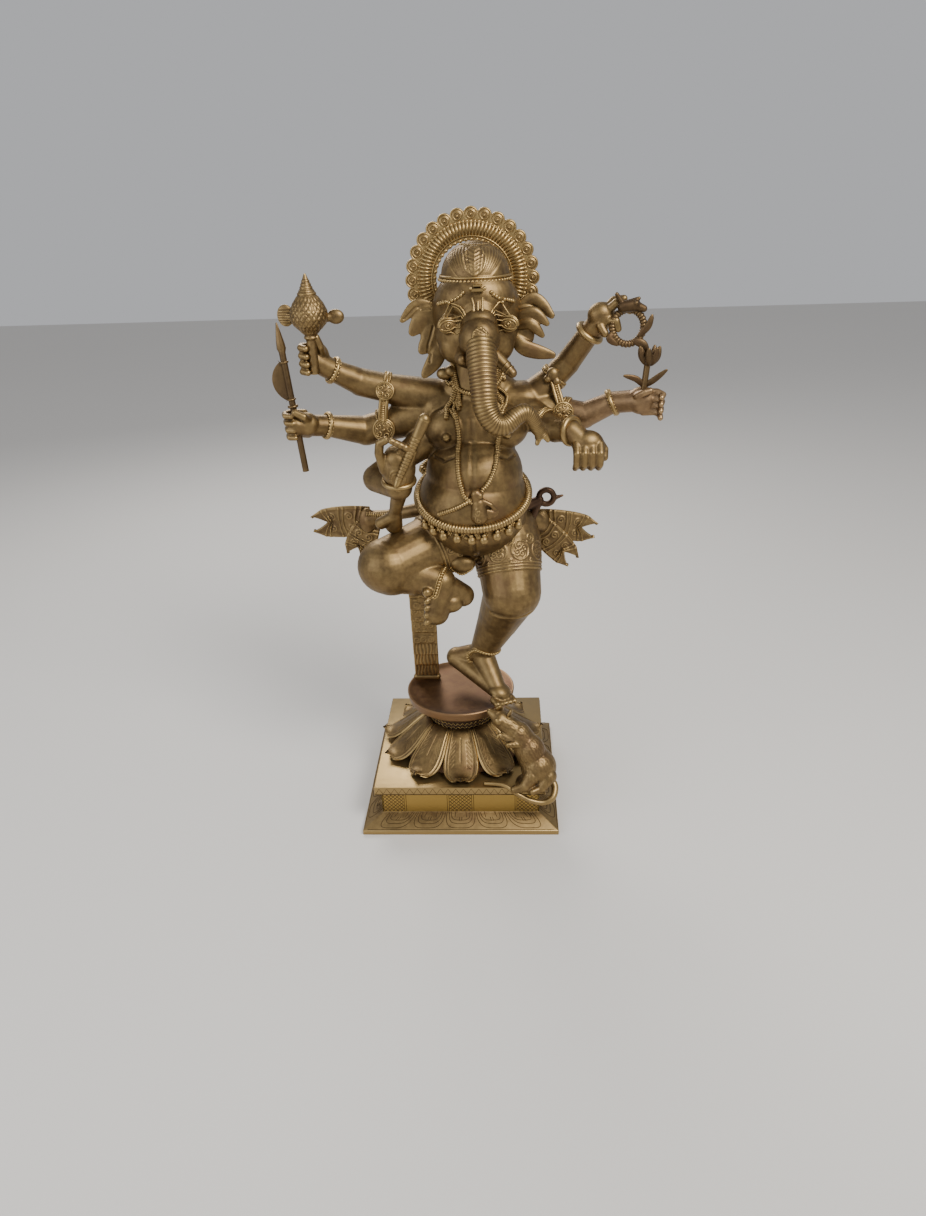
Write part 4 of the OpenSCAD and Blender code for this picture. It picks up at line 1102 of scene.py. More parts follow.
turns = np.linspace(low_turn, high_turn, 73)
edges = [(halo_in + 1, -4.5), (halo_r - 3, -4.5), (halo_r - 3, 4.5), (halo_in + 1, 4.5)]
fan_mesh = bpy.data.meshes.new("fan")
fan_mesh.from_pydata([fan(edges[0][0], t, edges[0][1]) for t in turns], [(i, i + 1) for i in range(72)], [])
fan_plate = bpy.data.objects.new("fan", fan_mesh)
bpy.context.scene.collection.objects.link(fan_plate)
only(fan_plate)
bpy.ops.object.convert(target="MESH")
fan_mesh.clear_geometry()
corners = [fan(r, t, y) for t in turns for r, y in edges]
faces = [[4 * i + k, 4 * i + (k + 1) % 4, 4 * i + 4 + (k + 1) % 4,
          4 * i + 4 + k] for i in range(72) for k in range(4)]
fan_mesh.from_pydata(corners, [], faces + [[0, 1, 2, 3], [291, 290, 289, 288]])
only(fan_plate)
bpy.ops.object.mode_set(mode="EDIT")
bpy.ops.mesh.select_all(action="SELECT")
bpy.ops.mesh.normals_make_consistent(inside=False)
bpy.ops.object.mode_set(mode="OBJECT")
smoothed(fan_plate, 40)

rib_count = rosettes * 3
rib = joined("rib", limb(mm(0, 0, 3), 1.2, mm(0, 0, halo_r - halo_in - 14), 2.5, fine=12))
ribs = copies("halo_ribs", smoothed(rib), [standing_on_fan(fan(halo_in + 4, t, -4.5), t)
                                          for _, t in fan_places(rib_count, 0, 0, 2)])
rosette = joined("rosette", [
    mass(mm(0, 0, 0), 10, (1, 0.42, 1), fine=20),
    wire("rosette_rim", ring_line(mm(0, -2.2, 0), (0, 1, 0), 8.8, 24), 1.5, True, 2),
    wire("rosette_ring", ring_line(mm(0, -3.8, 0), (0, 1, 0), 5.0, 18), 1.1, True, 2),
    mass(mm(0, -4.6, 0), 1.9, fine=10),
    wire("rosette_back", ring_line(mm(0, 2.2, 0), (0, 1, 0), 8.8, 24), 1.5, True, 2)])
rim_row = copies("halo_rosettes", smoothed(rosette),
                 [standing_on_fan(p, t) for p, t in fan_places(rosettes, halo_r - 1.5, -1)])
inner = copies("halo_beads", bead(2.9),
               [Matrix.Translation(p) for p, t in fan_places(31, halo_in + 2.5, -4, 3)])
rims = [wire("fan_edge", [fan(r, t, -4.5) for t in turns], 1.3) for r in (halo_in + 6.5, halo_r - 11)]
back_ribs = copies("halo_back_ribs",
                   smoothed(joined("rib",
                                   limb(mm(0, 0, 0), 1.6, mm(0, 0, halo_r - halo_in - 12), 2, fine=8))),
                   [standing_on_fan(fan(halo_in + 4, t, 4.5), t) for _, t in fan_places(rosettes, 0, 0, 4)])
strap = slab(halo_mid + mm(-halo_r * 0.74, -8, -54), halo_mid + mm(halo_r * 0.74, 2, -40))
for s, t0 in ((1, low_turn), (-1, math.pi - low_turn)):
    rims.append(wire("fan_foot",
                     spline([fan(halo_in + 8, t0, -2), fan(halo_in + 2, t0 - s * 0.18, -8),
                             fan(halo_in - 4, t0 - s * 0.36, -14)], 8), 6))
show(joined("halo_casting", [fan_plate, ribs, rim_row, inner, back_ribs, strap] + rims), "ornament_brass",
     ["halo"])

# %% [markdown]
# Each arm is its own casting, as the torso's tenons take it: a soft tube from the joint through elbow and
# wrist to a small plump hand. The fingers are limbs that are bent at one knuckle and laid side by side, so
# the hand that grips has a row of knuckles and the open hand has four fingers that hang.


# %% Arms and hands
def arm(name):
    r = ARM_R[name]
    return (limb(JOINTS[name], r, ELBOWS[name], r - 0.5) + limb(ELBOWS[name], r - 1, WRISTS[name], 15)
            + limb(WRISTS[name], 15, HANDS[name], 15))


def finger(points, r):
    out = []
    for i, (a, b) in enumerate(zip(points, points[1:])):
        out += limb(a, r * (1 - 0.08 * i), b, r * (1 - 0.08 * (i + 1)), fine=16)
    return out


h = HANDS["conch"]
conch_parts = arm("conch") + [mass(h + mm(6, 4, 2), 17, (0.9, 0.75, 1.25))]
for k in range(4):
    z = (k - 1.5) * 10.5 + 3
    conch_parts += finger([h + mm(2, -2, z), h + mm(-13, -8, z + 1), h + mm(-13, -18, z + 1),
                           h + mm(-5, -23, z)], 5.6)
conch_parts += finger([h + mm(12, -2, 8), h + mm(13, -12, 20), h + mm(9, -14, 32)], 5.6)
show(wax("conch_arm_casting", conch_parts, grain=1.3, rounds=3), "cast_brass", ["conch_arm"])

h = HANDS["axe"]
axe_lean = math.radians(-5)
shaft_axis = Vector((math.sin(axe_lean), 0, math.cos(axe_lean)))
axe_parts = arm("axe") + [mass(h + mm(12, 4, 0), 17, (1.1, 0.8, 1.0))]
for k in range(4):
    z = (k - 1.5) * 10
    c = h + shaft_axis * z * MM
    axe_parts += finger([c + mm(12, 8, 0), c + mm(-8, 12, 0), c + mm(-14, 2, 0), c + mm(-11, -9, 0),
                         c + mm(-2, -12.5, 0)], 5.4)
axe_parts += finger([h + mm(18, -2, 6), h + mm(14, -12, 14), h + mm(2, -12, 20)], 5.6)
axe_hand = wax("axe_arm_casting", axe_parts, grain=1.3, rounds=2)
bpy.ops.object.select_all(action="DESELECT")
bpy.ops.mesh.primitive_cylinder_add(vertices=40, radius=4.85 * MM, depth=0.16, location=h + mm(0, 0, 0),
                                    rotation=shaft_axis.to_track_quat("Z", "Y").to_euler())
bore = settle()
only(axe_hand)
finish_with("BOOLEAN", operation="DIFFERENCE", object=bore, solver="EXACT")
bpy.data.objects.remove(bore)
show(smoothed(axe_hand, 60), "cast_brass", ["axe_arm"])

w, p = WRISTS["tusk"], HANDS["tusk"]
palm_parts = limb(JOINTS["tusk"], 19, ELBOWS["tusk"], 20) + limb(ELBOWS["tusk"], 20, w, 18) + limb(w, 19, p,
        20)
palm_parts += [mass(p + mm(0, 0, -12), 24, (1, 0.85, 1.2))]
palm_parts += finger([p + mm(-18, -8, -12), p + mm(-23, -12, 12), p + mm(-21, -14, 26),
                      p + mm(-12, -17, 31)], 7)
for k in range(4):
    palm_parts += finger([p + mm(16 - k * 4, -8, -6 + k * 3), p + mm(24 - k * 5, -16, 14 + k * 3),
                          p + mm(14 - k * 6, -22, 22 + k * 3)], 5.4)
tusk_arm = wax("tusk_arm_casting", palm_parts, grain=1.3, rounds=3)
lines = [[p + mm(0, -24, -28) + mm(r * math.cos(a), -2, r * 1.25 * math.sin(a)) for a in np.linspace(0, TAU,
        30)] for r in (15, 11)]
for k in range(9):
    t = math.pi * (1 + k / 8)
    lines.append([p + mm(11 * math.cos(t), -26, -28 + 13 * math.sin(t)),
                  p + mm(15 * math.cos(t), -26, -28 + 18 * math.sin(t))])
chase(tusk_arm, lines, 1.8, 0.9)
show(tusk_arm, "cast_brass", ["tusk_arm"])

h = HANDS["noose"]
noose_parts = arm("noose") + [mass(h + mm(-2, 0, 4), 17, (1.1, 0.85, 1))]
noose_parts += finger([h + mm(4, -4, 8), h + mm(16, -10, 20), h + mm(28, -12, 18), h + mm(34, -12, 10)],
                      6.4)
noose_parts += finger([h + mm(2, 4, 8), h + mm(14, 4, 22), h + mm(27, 0, 24)], 6)
noose_parts += finger([h + mm(6, -8, -2), h + mm(16, -15, -2), h + mm(19, -15, -12)],
                      6) + finger([h + mm(-4, -10, -8), h + mm(2, -14, -18)], 6)
show(wax("noose_arm_casting", noose_parts, grain=1.3, rounds=3), "cast_brass", ["noose_arm"])

h = HANDS["lotus"]
lotus_parts = arm("lotus") + [mass(h + mm(4, 0, 0), 19, (1.1, 0.8, 1))]
for k in range(4):
    z = 12 - k * 9
    lotus_parts += finger([h + mm(6, -4, z), h + mm(22, -8, z + 1), h + mm(30 - k, -13, z - 2),
                           h + mm(27, -19, z - 5)], 5.2)
lotus_parts += finger([h + mm(-4, -10, 8), h + mm(4, -16, 14), h + mm(12, -16, 16)], 5.6)
show(wax("lotus_arm_casting", lotus_parts, grain=1.3, rounds=3), "cast_brass", ["lotus_arm"], finish=brass(
    "shaded_arm", (0.16, 0.10, 0.055), (0.42, 0.28, 0.14)))

h = HANDS["lowered"]
lowered_parts = arm("lowered") + [mass(h + mm(0, 2, 2), 19, (1.15, 0.85, 1))]
for k in range(4):
    x = (k - 1.5) * 10.5
    lowered_parts += finger([h + mm(x, -6, 4), h + mm(x, -17, -6), h + mm(x, -14, -22),
                             h + mm(x - 1, -5, -29)], 5.7)
lowered_parts += finger([h + mm(16, 2, 4), h + mm(22, -4, -4), h + mm(22, -8, -14)], 6)
show(wax("lowered_arm_casting", lowered_parts, grain=1.3, rounds=2), "cast_brass", ["lowered_arm"])

# %% [markdown]
# What the hands hold comes next. The conch is a bulb with a net of diamonds, a ringed cap and two wings.
# The axe is the one piece that comes out: its straight shaft slides in the fist's bore, and its collar
# rests on the fist. The noose is a loop of cord with an animal's head, and the lotus is a bud on a stem.

# %% Conch
cf = HANDS["conch"] + mm(2, -14, -16)
cx, cy, cz = cf / MM


def turned(name, outline, foot):
    """A shape turned about an upright axis through its foot."""
    return lathe(name, [(r, foot.z / MM + z) for r, z in outline], 72, (foot.x / MM, foot.y / MM))


conch = turned("conch_body",
               [(0, 0), (6.8, 0), (7, 46), (9.5, 47), (9.5, 49), (8, 51), (15, 58), (22, 65), (25.6, 73),
                (25, 82),
                              (20.5, 92), (14, 101), (12.6, 102), (12.6, 105), (10.5, 106), (10.5, 108),
                              (9, 109), (1.2, 129), (0, 129)], cf)
only(conch)
finish_with("REMESH", mode="VOXEL", voxel_size=1.0 * MM)
finish_with("SMOOTH", factor=0.5, iterations=2)
smoothed(conch)
diamonds = []
for way in (1, -1):
    for k in range(20):
        line = []
        for t in np.linspace(0, 1, 22):
            z = 54 + 46 * t
            r = 26 * math.sin(math.pi * min(1, 0.12 + 0.8 * t)) ** 0.7
            a = TAU * k / 20 + way * t * 1.5
            line.append(cf + mm(r * math.cos(a), r * math.sin(a), z))
        diamonds.append(line)
chase(conch, diamonds, 1.6, -0.8)
rings = [ring_line(cf + mm(0, 0, z), (0, 0, 1), r, 30) for z, r in ((112, 8.4), (116, 7), (120, 5.2))]
chase(conch, rings, 1.6, 0.7, True)
wing_left = wax("wing",
                [mass(cf + mm(-33, 8.5, 76), 11.5, (1, 0.34, 1.25))] + limb(cf + mm(-20, 6, 74), 6,
                        cf + mm(-30, 8.5, 75), 5), grain=0.9, rounds=1)
chase(wing_left, [[cf + mm(-24, 4, z), cf + mm(-43, 5, z)] for z in (66, 69.5, 73, 76.5, 80, 83.5)], 1.7,
      -1.1)
wing_right = wax("wing",
                 [mass(cf + mm(34, 8.5, 73), 11.5, (1, 0.55, 0.85))] + limb(cf + mm(20, 6, 72), 6,
                         cf + mm(30, 8.5, 73), 6), grain=0.9, rounds=2)
show(joined("conch_vessel", [conch, wing_left, wing_right]), "ornament_brass", ["conch"])

# %% Axe
fist = HANDS["axe"]


def on_shaft(x, y, z):
    """A place beside the shaft: z along it from the middle of the fist."""
    return fist + Matrix.Rotation(axe_lean, 3, "Y") @ mm(x, y, z)


axe_parts = [wire("shaft", walk([on_shaft(0, 0, -66), on_shaft(0, 0, 104)], 4), 4.45, sides=10)]
axe_parts += [wire("collar", ring_line(on_shaft(0, 0, 26.4), shaft_axis, 5.6, 30), 1.9, True)]
axe_parts += limb(on_shaft(0, 0, -62), 4.4, on_shaft(0, 0, -64.5), 2.6)
spear = [(0, 96), (4.4, 98), (6.4, 104), (5.6, 112), (3.6, 124), (1, 137), (0, 138)]
spear_head = lathe("spear", spear, 8)
spear_head.data.transform(Matrix.Translation(fist) @ Matrix.Rotation(axe_lean, 4,
        "Y") @ Matrix.Diagonal((1.0, 0.72, 1.0, 1.0)))
axe_parts.append(spear_head)
blade_low, blade_high = 34, 88
for k in range(2):
    axe_parts.append(wire("band", ring_line(on_shaft(0, 0, blade_low + 2 + k * 50), shaft_axis, 4.6, 24),
                          1.6, True))
outline = [(-3, blade_low + 4), (-8, blade_low - 1)]
outline += [(12 - 33 * math.cos(a),
             (blade_low + blade_high) / 2 + 31 * math.sin(a)) for a in np.linspace(-0.98, 0.98, 22)]
outline += [(-8, blade_high + 1), (-3, blade_high - 4)]
blade_mesh = bpy.data.meshes.new("blade")
count = len(outline)
blade_mesh.from_pydata([on_shaft(x, y, z) for y in (-1.5, 1.5) for x, z in outline], [],
                       [list(range(count)), list(range(2 * count - 1, count - 1, -1))]
                       + [[i, i + count, (i + 1) % count + count, (i + 1) % count] for i in range(count)])
blade = bpy.data.objects.new("blade", blade_mesh)
bpy.context.scene.collection.objects.link(blade)
only(blade)
bpy.ops.object.mode_set(mode="EDIT")
bpy.ops.mesh.select_all(action="SELECT")
bpy.ops.mesh.normals_make_consistent(inside=False)
bpy.ops.object.mode_set(mode="OBJECT")
finish_with("BEVEL", width=0.7 * MM, segments=2)
axe_parts.append(smoothed(blade, 40))
show(joined("axe_whole", axe_parts), "dark_brass", ["axe"], "axe")

# %% Noose
nc = HANDS["noose"] + mm(32, -14, -10)
loop_line = [nc + mm(20.5 * math.cos(a), 0, 22 * math.sin(a)) for a in np.linspace(0, TAU, 64,
        endpoint=False)]
noose = [rope("noose_loop", loop_line, 4.6, 4.2, 0.13, True)]
head_at = nc + mm(4, -4, 28)
noose += [wax("noose_head",
              limb(head_at + mm(-12, 0, -2), 7.5, head_at + mm(2, 0, 0), 8.5) + limb(head_at, 8,
                      head_at + mm(15, 0, -5), 4.6)
              + limb(head_at + mm(-13, 0, 2), 4, head_at + mm(-21, -1, 14),
                     2.6) + limb(head_at + mm(2, 0, 6), 3, head_at + mm(8, -1, 8), 2.4)
              + [mass(head_at + mm(4, -7, 3), 3), mass(head_at + mm(4, 7, 3), 3)], grain=0.9, rounds=2)]
noose += [wax("noose_leaves", leaf([nc + mm(16, -4, -10), nc + mm(26, -6, 2), nc + mm(30, -6, 14)], 5, 0.5)
              + leaf([nc + mm(10, -4, -18), nc + mm(20, -6, -22), nc + mm(26, -6, -30)], 6, 0.5)
              + leaf([nc + mm(-18, -2, -8), nc + mm(-24, -4, -14), nc + mm(-14, -4, -22)], 5, 0.5),
              grain=0.9, rounds=1)]
show(joined("noose_whole", noose), "dark_brass", ["noose"])

# %% Lotus bud
lf = HANDS["lotus"] + mm(4, -4, 8)
stem = wire("lotus_stem", walk(spline([lf, lf + mm(2, 0, 20), lf + mm(4, 0, 42)], 6), 2), 4.3)
bud_parts = [wax("lotus_leaves",
                 leaf([lf + mm(1, 0, 12), lf + mm(-10, -2, 22), lf + mm(-26, -4, 27)], 4.5, 0.5)
                 + leaf([lf + mm(1, 0, 12), lf + mm(13, -2, 20), lf + mm(29, -4, 33)], 4.5, 0.5), grain=0.8,
                 rounds=1)]
bud_top = lf + mm(6, 0, 50)
petals_of_bud = [mass(bud_top, 8, (1, 1, 1.1))]
for k in range(7):
    a = TAU * k / 7
    out = mm(math.cos(a), math.sin(a), 0)
    petals_of_bud += leaf([bud_top + out * 4 + mm(0, 0, -8), bud_top + out * 10,
                           bud_top + out * 13 + mm(0, 0, 12)], 5, 0.7)
bud_parts.append(wax("bud", petals_of_bud, grain=0.8, rounds=1))
show(joined("lotus_flower", [stem] + bud_parts), "dark_brass", ["lotus_bud"])

# %% Broken tusk and hand post
ta, tb = p + mm(2, -22, -22), p + mm(40, -12, 56)
long_tusk = walk([ta, tb], 0.9)
steps = len(long_tusk)
tusk_held = wire("held_tusk", long_tusk,
                 [5.2 +
                  3.2 * i / steps - 0.9 * (abs(math.sin(math.pi * i / 5.2)) < 0.35) * (i < steps * 0.72)
                                          for i in range(steps)], sides=10)
knob = limb(ta, 5, ta + mm(-3, -2, -7), 3.6) + [mass(tb, 8.3)]
show(joined("broken_tusk_casting", [tusk_held] + knob), "cast_brass", ["broken_tusk"])
post = wax("hand_post_casting",
           limb(w + mm(0, 4, -8), 12, w + mm(-10, 24, -42), 9) + limb(w + mm(-10, 24, -42), 9,
                   w + mm(-16, 40, -70), 13)
           + limb(w + mm(-12, 28, -52), 9, w + mm(-34, 36, -66), 9), grain=1.2, rounds=3)
show(post, "cast_brass", ["hand_post"])

# %% [markdown]
# The ornaments lie on the castings. Armlets are domed medallions joined by ridged straps, bangles are
# ribbed rings, and anklets are strings of beads. Each starts as a line on or just over the skin: the
# nearest place on the casting gives the line its height, so that it follows the shape under it.


# %% Lines that follow the skin
def on_skin(piece, points, over=1.0, steps=8):
    """A smooth line through points, laid on a piece's skin."""
    line = walk(spline(points, steps), 2.5)
    laid = []
    for p in line:
        hit, place, normal, _ = piece.closest_point_on_mesh(p)
        laid.append(place + normal * over * MM)
    return walk(spline(laid[::2] + laid[-1:], 3), 1.5)


def side_of(root, joint, r, way):
    """A point on a limb's skin at its joint, on the side that faces a given way."""
    d = (joint - root).normalized()
    way = Vector(way)
    return joint + (way - d * way.dot(d)).normalized() * r * MM


def round_medal(centre, face, r, thick=4):
    """A domed medallion: a rim, a ring of scrolls and a centre bead, facing along face."""
    turn = Vector(face).to_track_quat("Z", "Y").to_matrix().to_4x4()
    petals_flat = [spiral(mm(0.55 * r * math.cos(t), 0.55 * r * math.sin(t), thick + 1.3),
                          Vector((1, 0, 0)), Vector((0, 1, 0)), r * 0.3, 1.2, t)
                   for t in np.linspace(0, TAU, 6)[:-1]]
    parts = [mass(mm(0, 0, 0), r, (1, 1, thick / r * 1.35)),
             wire("rim", ring_line(mm(0, 0, 2), (0, 0, 1), r * 0.93, 40), 1.6, True),
             wire("rim", ring_line(mm(0, 0, thick), (0, 0, 1), r * 0.76, 36), 0.8, True),
             mass(mm(0, 0, thick + 1), r * 0.2)]
    parts += [wire("scroll", line, 0.85, sides=2) for line in petals_flat]
    medal = joined("medal", parts)
    medal.data.transform(Matrix.Translation(centre) @ turn)
    return smoothed(medal)


def strap(name, points, normals, wide, ridges=3):
    """A strap of parallel ridges between points."""
    line = walk(spline(points, 6), 1.5)
    parts = []
    for k in range(ridges):
        off = (k - (ridges - 1) / 2) * wide / ridges
        shifted = []
        for i, p in enumerate(line):
            ahead = (line[min(i + 1, len(line) - 1)] - line[max(i - 1, 0)]).normalized()
            shifted.append(p + ahead.cross(Vector(normals)).normalized() * off * MM)
        maker = rope if k == ridges // 2 else (lambda n, l, r, *a: wire(n, l, r))
        parts.append(maker(name, shifted, wide / ridges * 0.62, 3.0, 0.2))
    return parts


upper = side_of(ROOTS["conch"], JOINTS["conch"], 20.5, (0, -1, 0))
lower = side_of(ROOTS["axe"], JOINTS["axe"], 22.5, (0, -1, 0))
left_parts = [wire("band", ring_line(JOINTS[n], JOINTS[n] - ROOTS[n], ARM_R[n] + 0.4, 60), 2.6,
                   True) for n in ("conch", "axe")]
left_parts += [rope("band",
                    ring_line(JOINTS[n] + (ROOTS[n] - JOINTS[n]).normalized() * k * MM,
                              JOINTS[n] - ROOTS[n], ARM_R[n] + 0.6, 60), 1.7, 2.6, 0.25, True)
               for n in ("conch", "axe") for k in (-3.4, 3.4)]
left_parts += strap("strap", [upper, (upper + lower) / 2 + mm(-1, -2, 0), lower], (0, -1, 0), 13)
left_parts += [round_medal(upper, (0.05, -1, 0.35), 12.5),
               round_medal(lower + mm(2, -1, 0), (0.1, -1, 0.1), 15.5)]
show(joined("armlet_left_band", left_parts), "ornament_brass", ["armlet_left"])

knot = side_of(ROOTS["noose"], JOINTS["noose"], 18, (-0.3, -1, 0))
medal = side_of(ROOTS["lotus"], JOINTS["lotus"], 20, (0, -1, 0.2))
tail = side_of(ROOTS["lowered"], JOINTS["lowered"], 19.5, (-1, -0.4, 0))
right_parts = [wire("band", ring_line(JOINTS[n], JOINTS[n] - ROOTS[n], ARM_R[n] + 0.4, 60), 2.6,
                    True) for n in ("noose", "lotus", "lowered")]
right_parts += [rope("band",
                     ring_line(JOINTS[n] + (ROOTS[n] - JOINTS[n]).normalized() * k * MM,
                               JOINTS[n] - ROOTS[n], ARM_R[n] + 0.6, 60), 1.6, 2.6, 0.25, True)
                for n in ("noose", "lotus", "lowered") for k in (-3.2, 3.2)]
right_parts += strap("strap", [knot, (knot + medal) / 2 + mm(0, -3, 0), medal], (0, -1, 0), 11)
right_parts += strap("tail", [medal + mm(-2, -2, -8), (medal + tail) / 2 + mm(-3, -7, 0), tail], (0, -1, 0),
                     13)
right_parts += [round_medal(medal + mm(0, -1, 0), (0.1, -1, 0.25), 14),
                wax("knot",
                    [mass(knot + mm(0, -2, 4), 9, (1, 0.8, 1.1)), mass(knot + mm(-7, -3, -2), 6),
                     mass(knot + mm(5, -4, -5), 6)], grain=1.1, rounds=2)]
show(joined("armlet_right_band", right_parts), "ornament_brass", ["armlet_right"])


# %% Bangles and anklets
def bangle(name, centre, axis, r, beaded=True):
    """A ring with ribs across it, as a notched bangle has."""
    line = ring_line(centre, axis, r, 90)
    if not beaded:
        return wire(name, line, 4.6, True)
    core = wire(name, line, 3.1, True)
    n = max(14, round(TAU * r / 4.4))
    ribs = []
    turn = Vector(axis).to_track_quat("Z", "Y")
    for k in range(n):
        a = TAU * k / n
        out = turn @ Vector((math.cos(a), math.sin(a), 0))
        c = centre + out * (r + 0.6) * MM
        lie = Vector(axis).normalized()
        ribs.append(joined("rib",
                           [mass(c, 1.7, fine=8), mass(c + lie * 2.6 * MM, 1.5, fine=8),
                            mass(c - lie * 2.6 * MM, 1.5, fine=8)]))
    return joined(name, [core] + ribs)


for name in ("conch", "axe", "noose", "lotus", "lowered"):
    ring = bangle(name + "_bangle_ring", WRISTS[name], WRISTS[name] - ELBOWS[name], 16.6,
                  name not in ("noose", "lowered"))
    show(ring, "ornament_brass", [name + "_bangle"])
ring = wire("tusk_bangle_ring", ring_line(w + mm(1, -3, 10), p - w - mm(1, -3, 10), 21, 90), 3.6, True)
show(ring, "ornament_brass", ["tusk_bangle"])


def bead_anklet(name, skin, centre, axis, r, nodes):
    """A chain of beads between two thin wires."""
    line = walk(laid(skin, ring_line(centre, axis, r, 90), 0.8), 1.5, True)
    lie = Vector(axis).normalized() * MM
    parts = [beads(name, line, 2.6, 4.4, True)]
    parts += [wire(name, laid(skin, [q + lie * k for q in line], 0.6), 1.2, True) for k in (-3.4, 3.4)]
    show(joined(name, parts), "ornament_brass", nodes)


bead_anklet("standing_anklet_chain", standing, ankle + mm(2, 0, 2),
            heel + mm(30, 20, 60) - ankle - mm(2, 0, 2), 22, ["standing_anklet"])
bead_anklet("raised_anklet_chain", raised, raised_ankle, raised_knee - raised_ankle, 21.5,
            ["raised_anklet"])

# %% [markdown]
# The cords cross on the chest and belly. Each is a ribbed cord laid on the torso's skin. The belt is the
# thickest, and hangs a row of bells, each a round drop under a small flower cap.

# %% Necklace, cords and belt
neck_parts = [rope("necklace_cord",
                   laid(torso, walk(ring_line(collar + mm(-2, -12, -16), mm(0, -24, 50), 44, 90), 2, True),
                        2.0), 3.2, 3.6, 0.16, True)]
for s in (-1, 1):
    for k in range(4):
        top = collar + mm(s * (25 + 5 * k), -12 - 3 * k, 2 - 5 * k)
        low = [top + mm(s * (4 - k), -18, -26), top + mm(-s * (2 + 3 * k), -32, -52 - (1 + s) * 6)]
        neck_parts.append(rope("braid", on_skin(torso, [top] + low, 2.0), 2.4, 2.6, 0.22))
neck_parts.append(mass(collar + mm(-44, -14, -12), 10, (1.1, 0.9, 0.85)))
neck_parts.append(mass(collar + mm(-35, -18, -8), 8))
neck_parts.append(rope("hanging_braid",
                       on_skin(torso,
                               [collar + mm(-44, -26, -20), collar + mm(-42, -50, -44),
                                collar + mm(-42, -60, -62)], 3), 3.2, 3.4, 0.2))
show(joined("necklace_cords", neck_parts), "ornament_brass", ["necklace"])

sacred = on_skin(torso,
                 [chest + mm(40, -46, 30), chest + mm(30, -62, -20), belly + mm(22, -76, 46),
                  belly + mm(-14, -80, 22), belly + mm(-46, -68, 6)], 2.6)
show(rope("sacred_cord_rope", sacred, 3.4, 3.4, 0.15), "ornament_brass", ["sacred_cord"])
necked = on_skin(torso,
                 [chest + mm(-24, -58, 40), chest + mm(-20, -64, -18), belly + mm(-14, -78, 44),
                  belly + mm(2, -80, 26)], 2.6)
show(rope("neck_cord_rope", necked, 3.4, 3.4, 0.15), "ornament_brass", ["neck_cord"])

belt_mid = belly + mm(-3, 10, 24)
belt_tilt = Matrix.Rotation(math.radians(24), 3, "X")


def on_belt(turn, r=82, z=0.0):
    return belt_mid + belt_tilt @ mm(r * math.cos(turn), r * math.sin(turn), z)


belt_line = []
for a in np.linspace(0, TAU, 180, endpoint=False):
    p0 = on_belt(a, 86)
    hit, place, normal, _ = torso.closest_point_on_mesh(p0)
    belt_line.append(place + normal * 2.2 * MM if (place - p0).length < 0.02 else on_belt(a))
belt_parts = [rope("belt_rope", belt_line, 5.6, 4.2, 0.1, True)]
bell_pattern = joined("bell",
                      [mass(mm(0, 0, -7), 6.4, (1, 1, 1.05), fine=20),
                       mass(mm(0, -3, 0.5), 3.4, (1, 0.8, 1), fine=12),
                               wire("cap", ring_line(mm(0, 0, -3), (0, 0, 1), 4.2, 14), 1.5, True, 2)])
flower = joined("flower",
                [mass(mm(2.6 * math.cos(a), -1, 2.6 * math.sin(a)), 2, fine=8) for a in np.linspace(0, TAU,
                        6)[:-1]] + [mass(mm(0, -2, 0), 1.8, fine=8)])
bell_at, flower_at = [], []
for k in range(9):
    a = math.radians(-90 + (k - 4) * 10.6)
    p0 = on_belt(a, 84, -8.5)
    hit, place, normal, _ = torso.closest_point_on_mesh(p0)
    bell_at.append(Matrix.Translation(place + normal * 3.2 * MM) @ Matrix.Rotation(a + math.pi / 2, 4, "Z"))
    a += math.radians(5.3)
    place = torso.closest_point_on_mesh(on_belt(a, 84, -9.5))[1]
    flower_at.append(Matrix.Translation(place) @ Matrix.Rotation(a + math.pi / 2, 4, "Z"))
belt_parts += [copies("bells", smoothed(bell_pattern), bell_at),
               copies("flowers", smoothed(flower), flower_at[:-1])]
show(joined("snake_belt_whole", belt_parts), "ornament_brass", ["snake_belt"])

# %% Pendant and pouch
pd = belly + mm(11, -78, 6)
pendant = wax("pendant_figure",
              limb(pd + mm(0, 2, 0), 13, pd + mm(-1, 2, 18), 10) + limb(pd + mm(-2, 2, 18), 8,
                      pd + mm(-4, 0, 32), 7.5)
              + limb(pd + mm(-4, 0, 32), 7, pd + mm(1, -3, 30),
                     5) + finger([pd + mm(4, 0, 22), pd + mm(16, 0, 16), pd + mm(22, 2, 8),
                                  pd + mm(14, 0, -2)], 3.6)
              + leaf([pd + mm(8, 0, 6), pd + mm(18, 0, 2), pd + mm(24, 2, 6)], 6, 0.5), grain=1.0, rounds=2)
scales = [spiral(pd + mm(-2, -12, z), Vector((1, 0, 0)), Vector((0, 0, 1)), 6, 1.2, z) for z in (-4, 8)]
chase(pendant, scales, 1.6, 0.8)
show(pendant, "cast_brass", ["pendant"])

pc = pelvis + mm(-24, -58, -33)
pouch = wax("loincloth_pouch",
            [mass(pc, 16, (1.25, 0.65, 0.85)), mass(pc + mm(0, 0, -9), 10, (1, 0.7, 0.8)),
             mass(pc + mm(0, 8, 8), 14, (1.4, 0.7, 0.6))], grain=1.1, rounds=2)
edge = [pc + mm(19 * math.cos(a), -8, 15 * math.sin(a) - 3) for a in np.linspace(-math.pi + 0.2, -0.2, 22)]
edge = [pouch.closest_point_on_mesh(q)[1] for q in edge]
show(joined("loincloth_whole",
            [pouch, beads("pouch_beads", edge, 1.7, 3.4),
             wire("pouch_edge", [q + mm(0, 0, 3.2) for q in edge], 1.2)]),
     "dark_brass", ["loincloth"], finish=FINISH["cast_brass"])

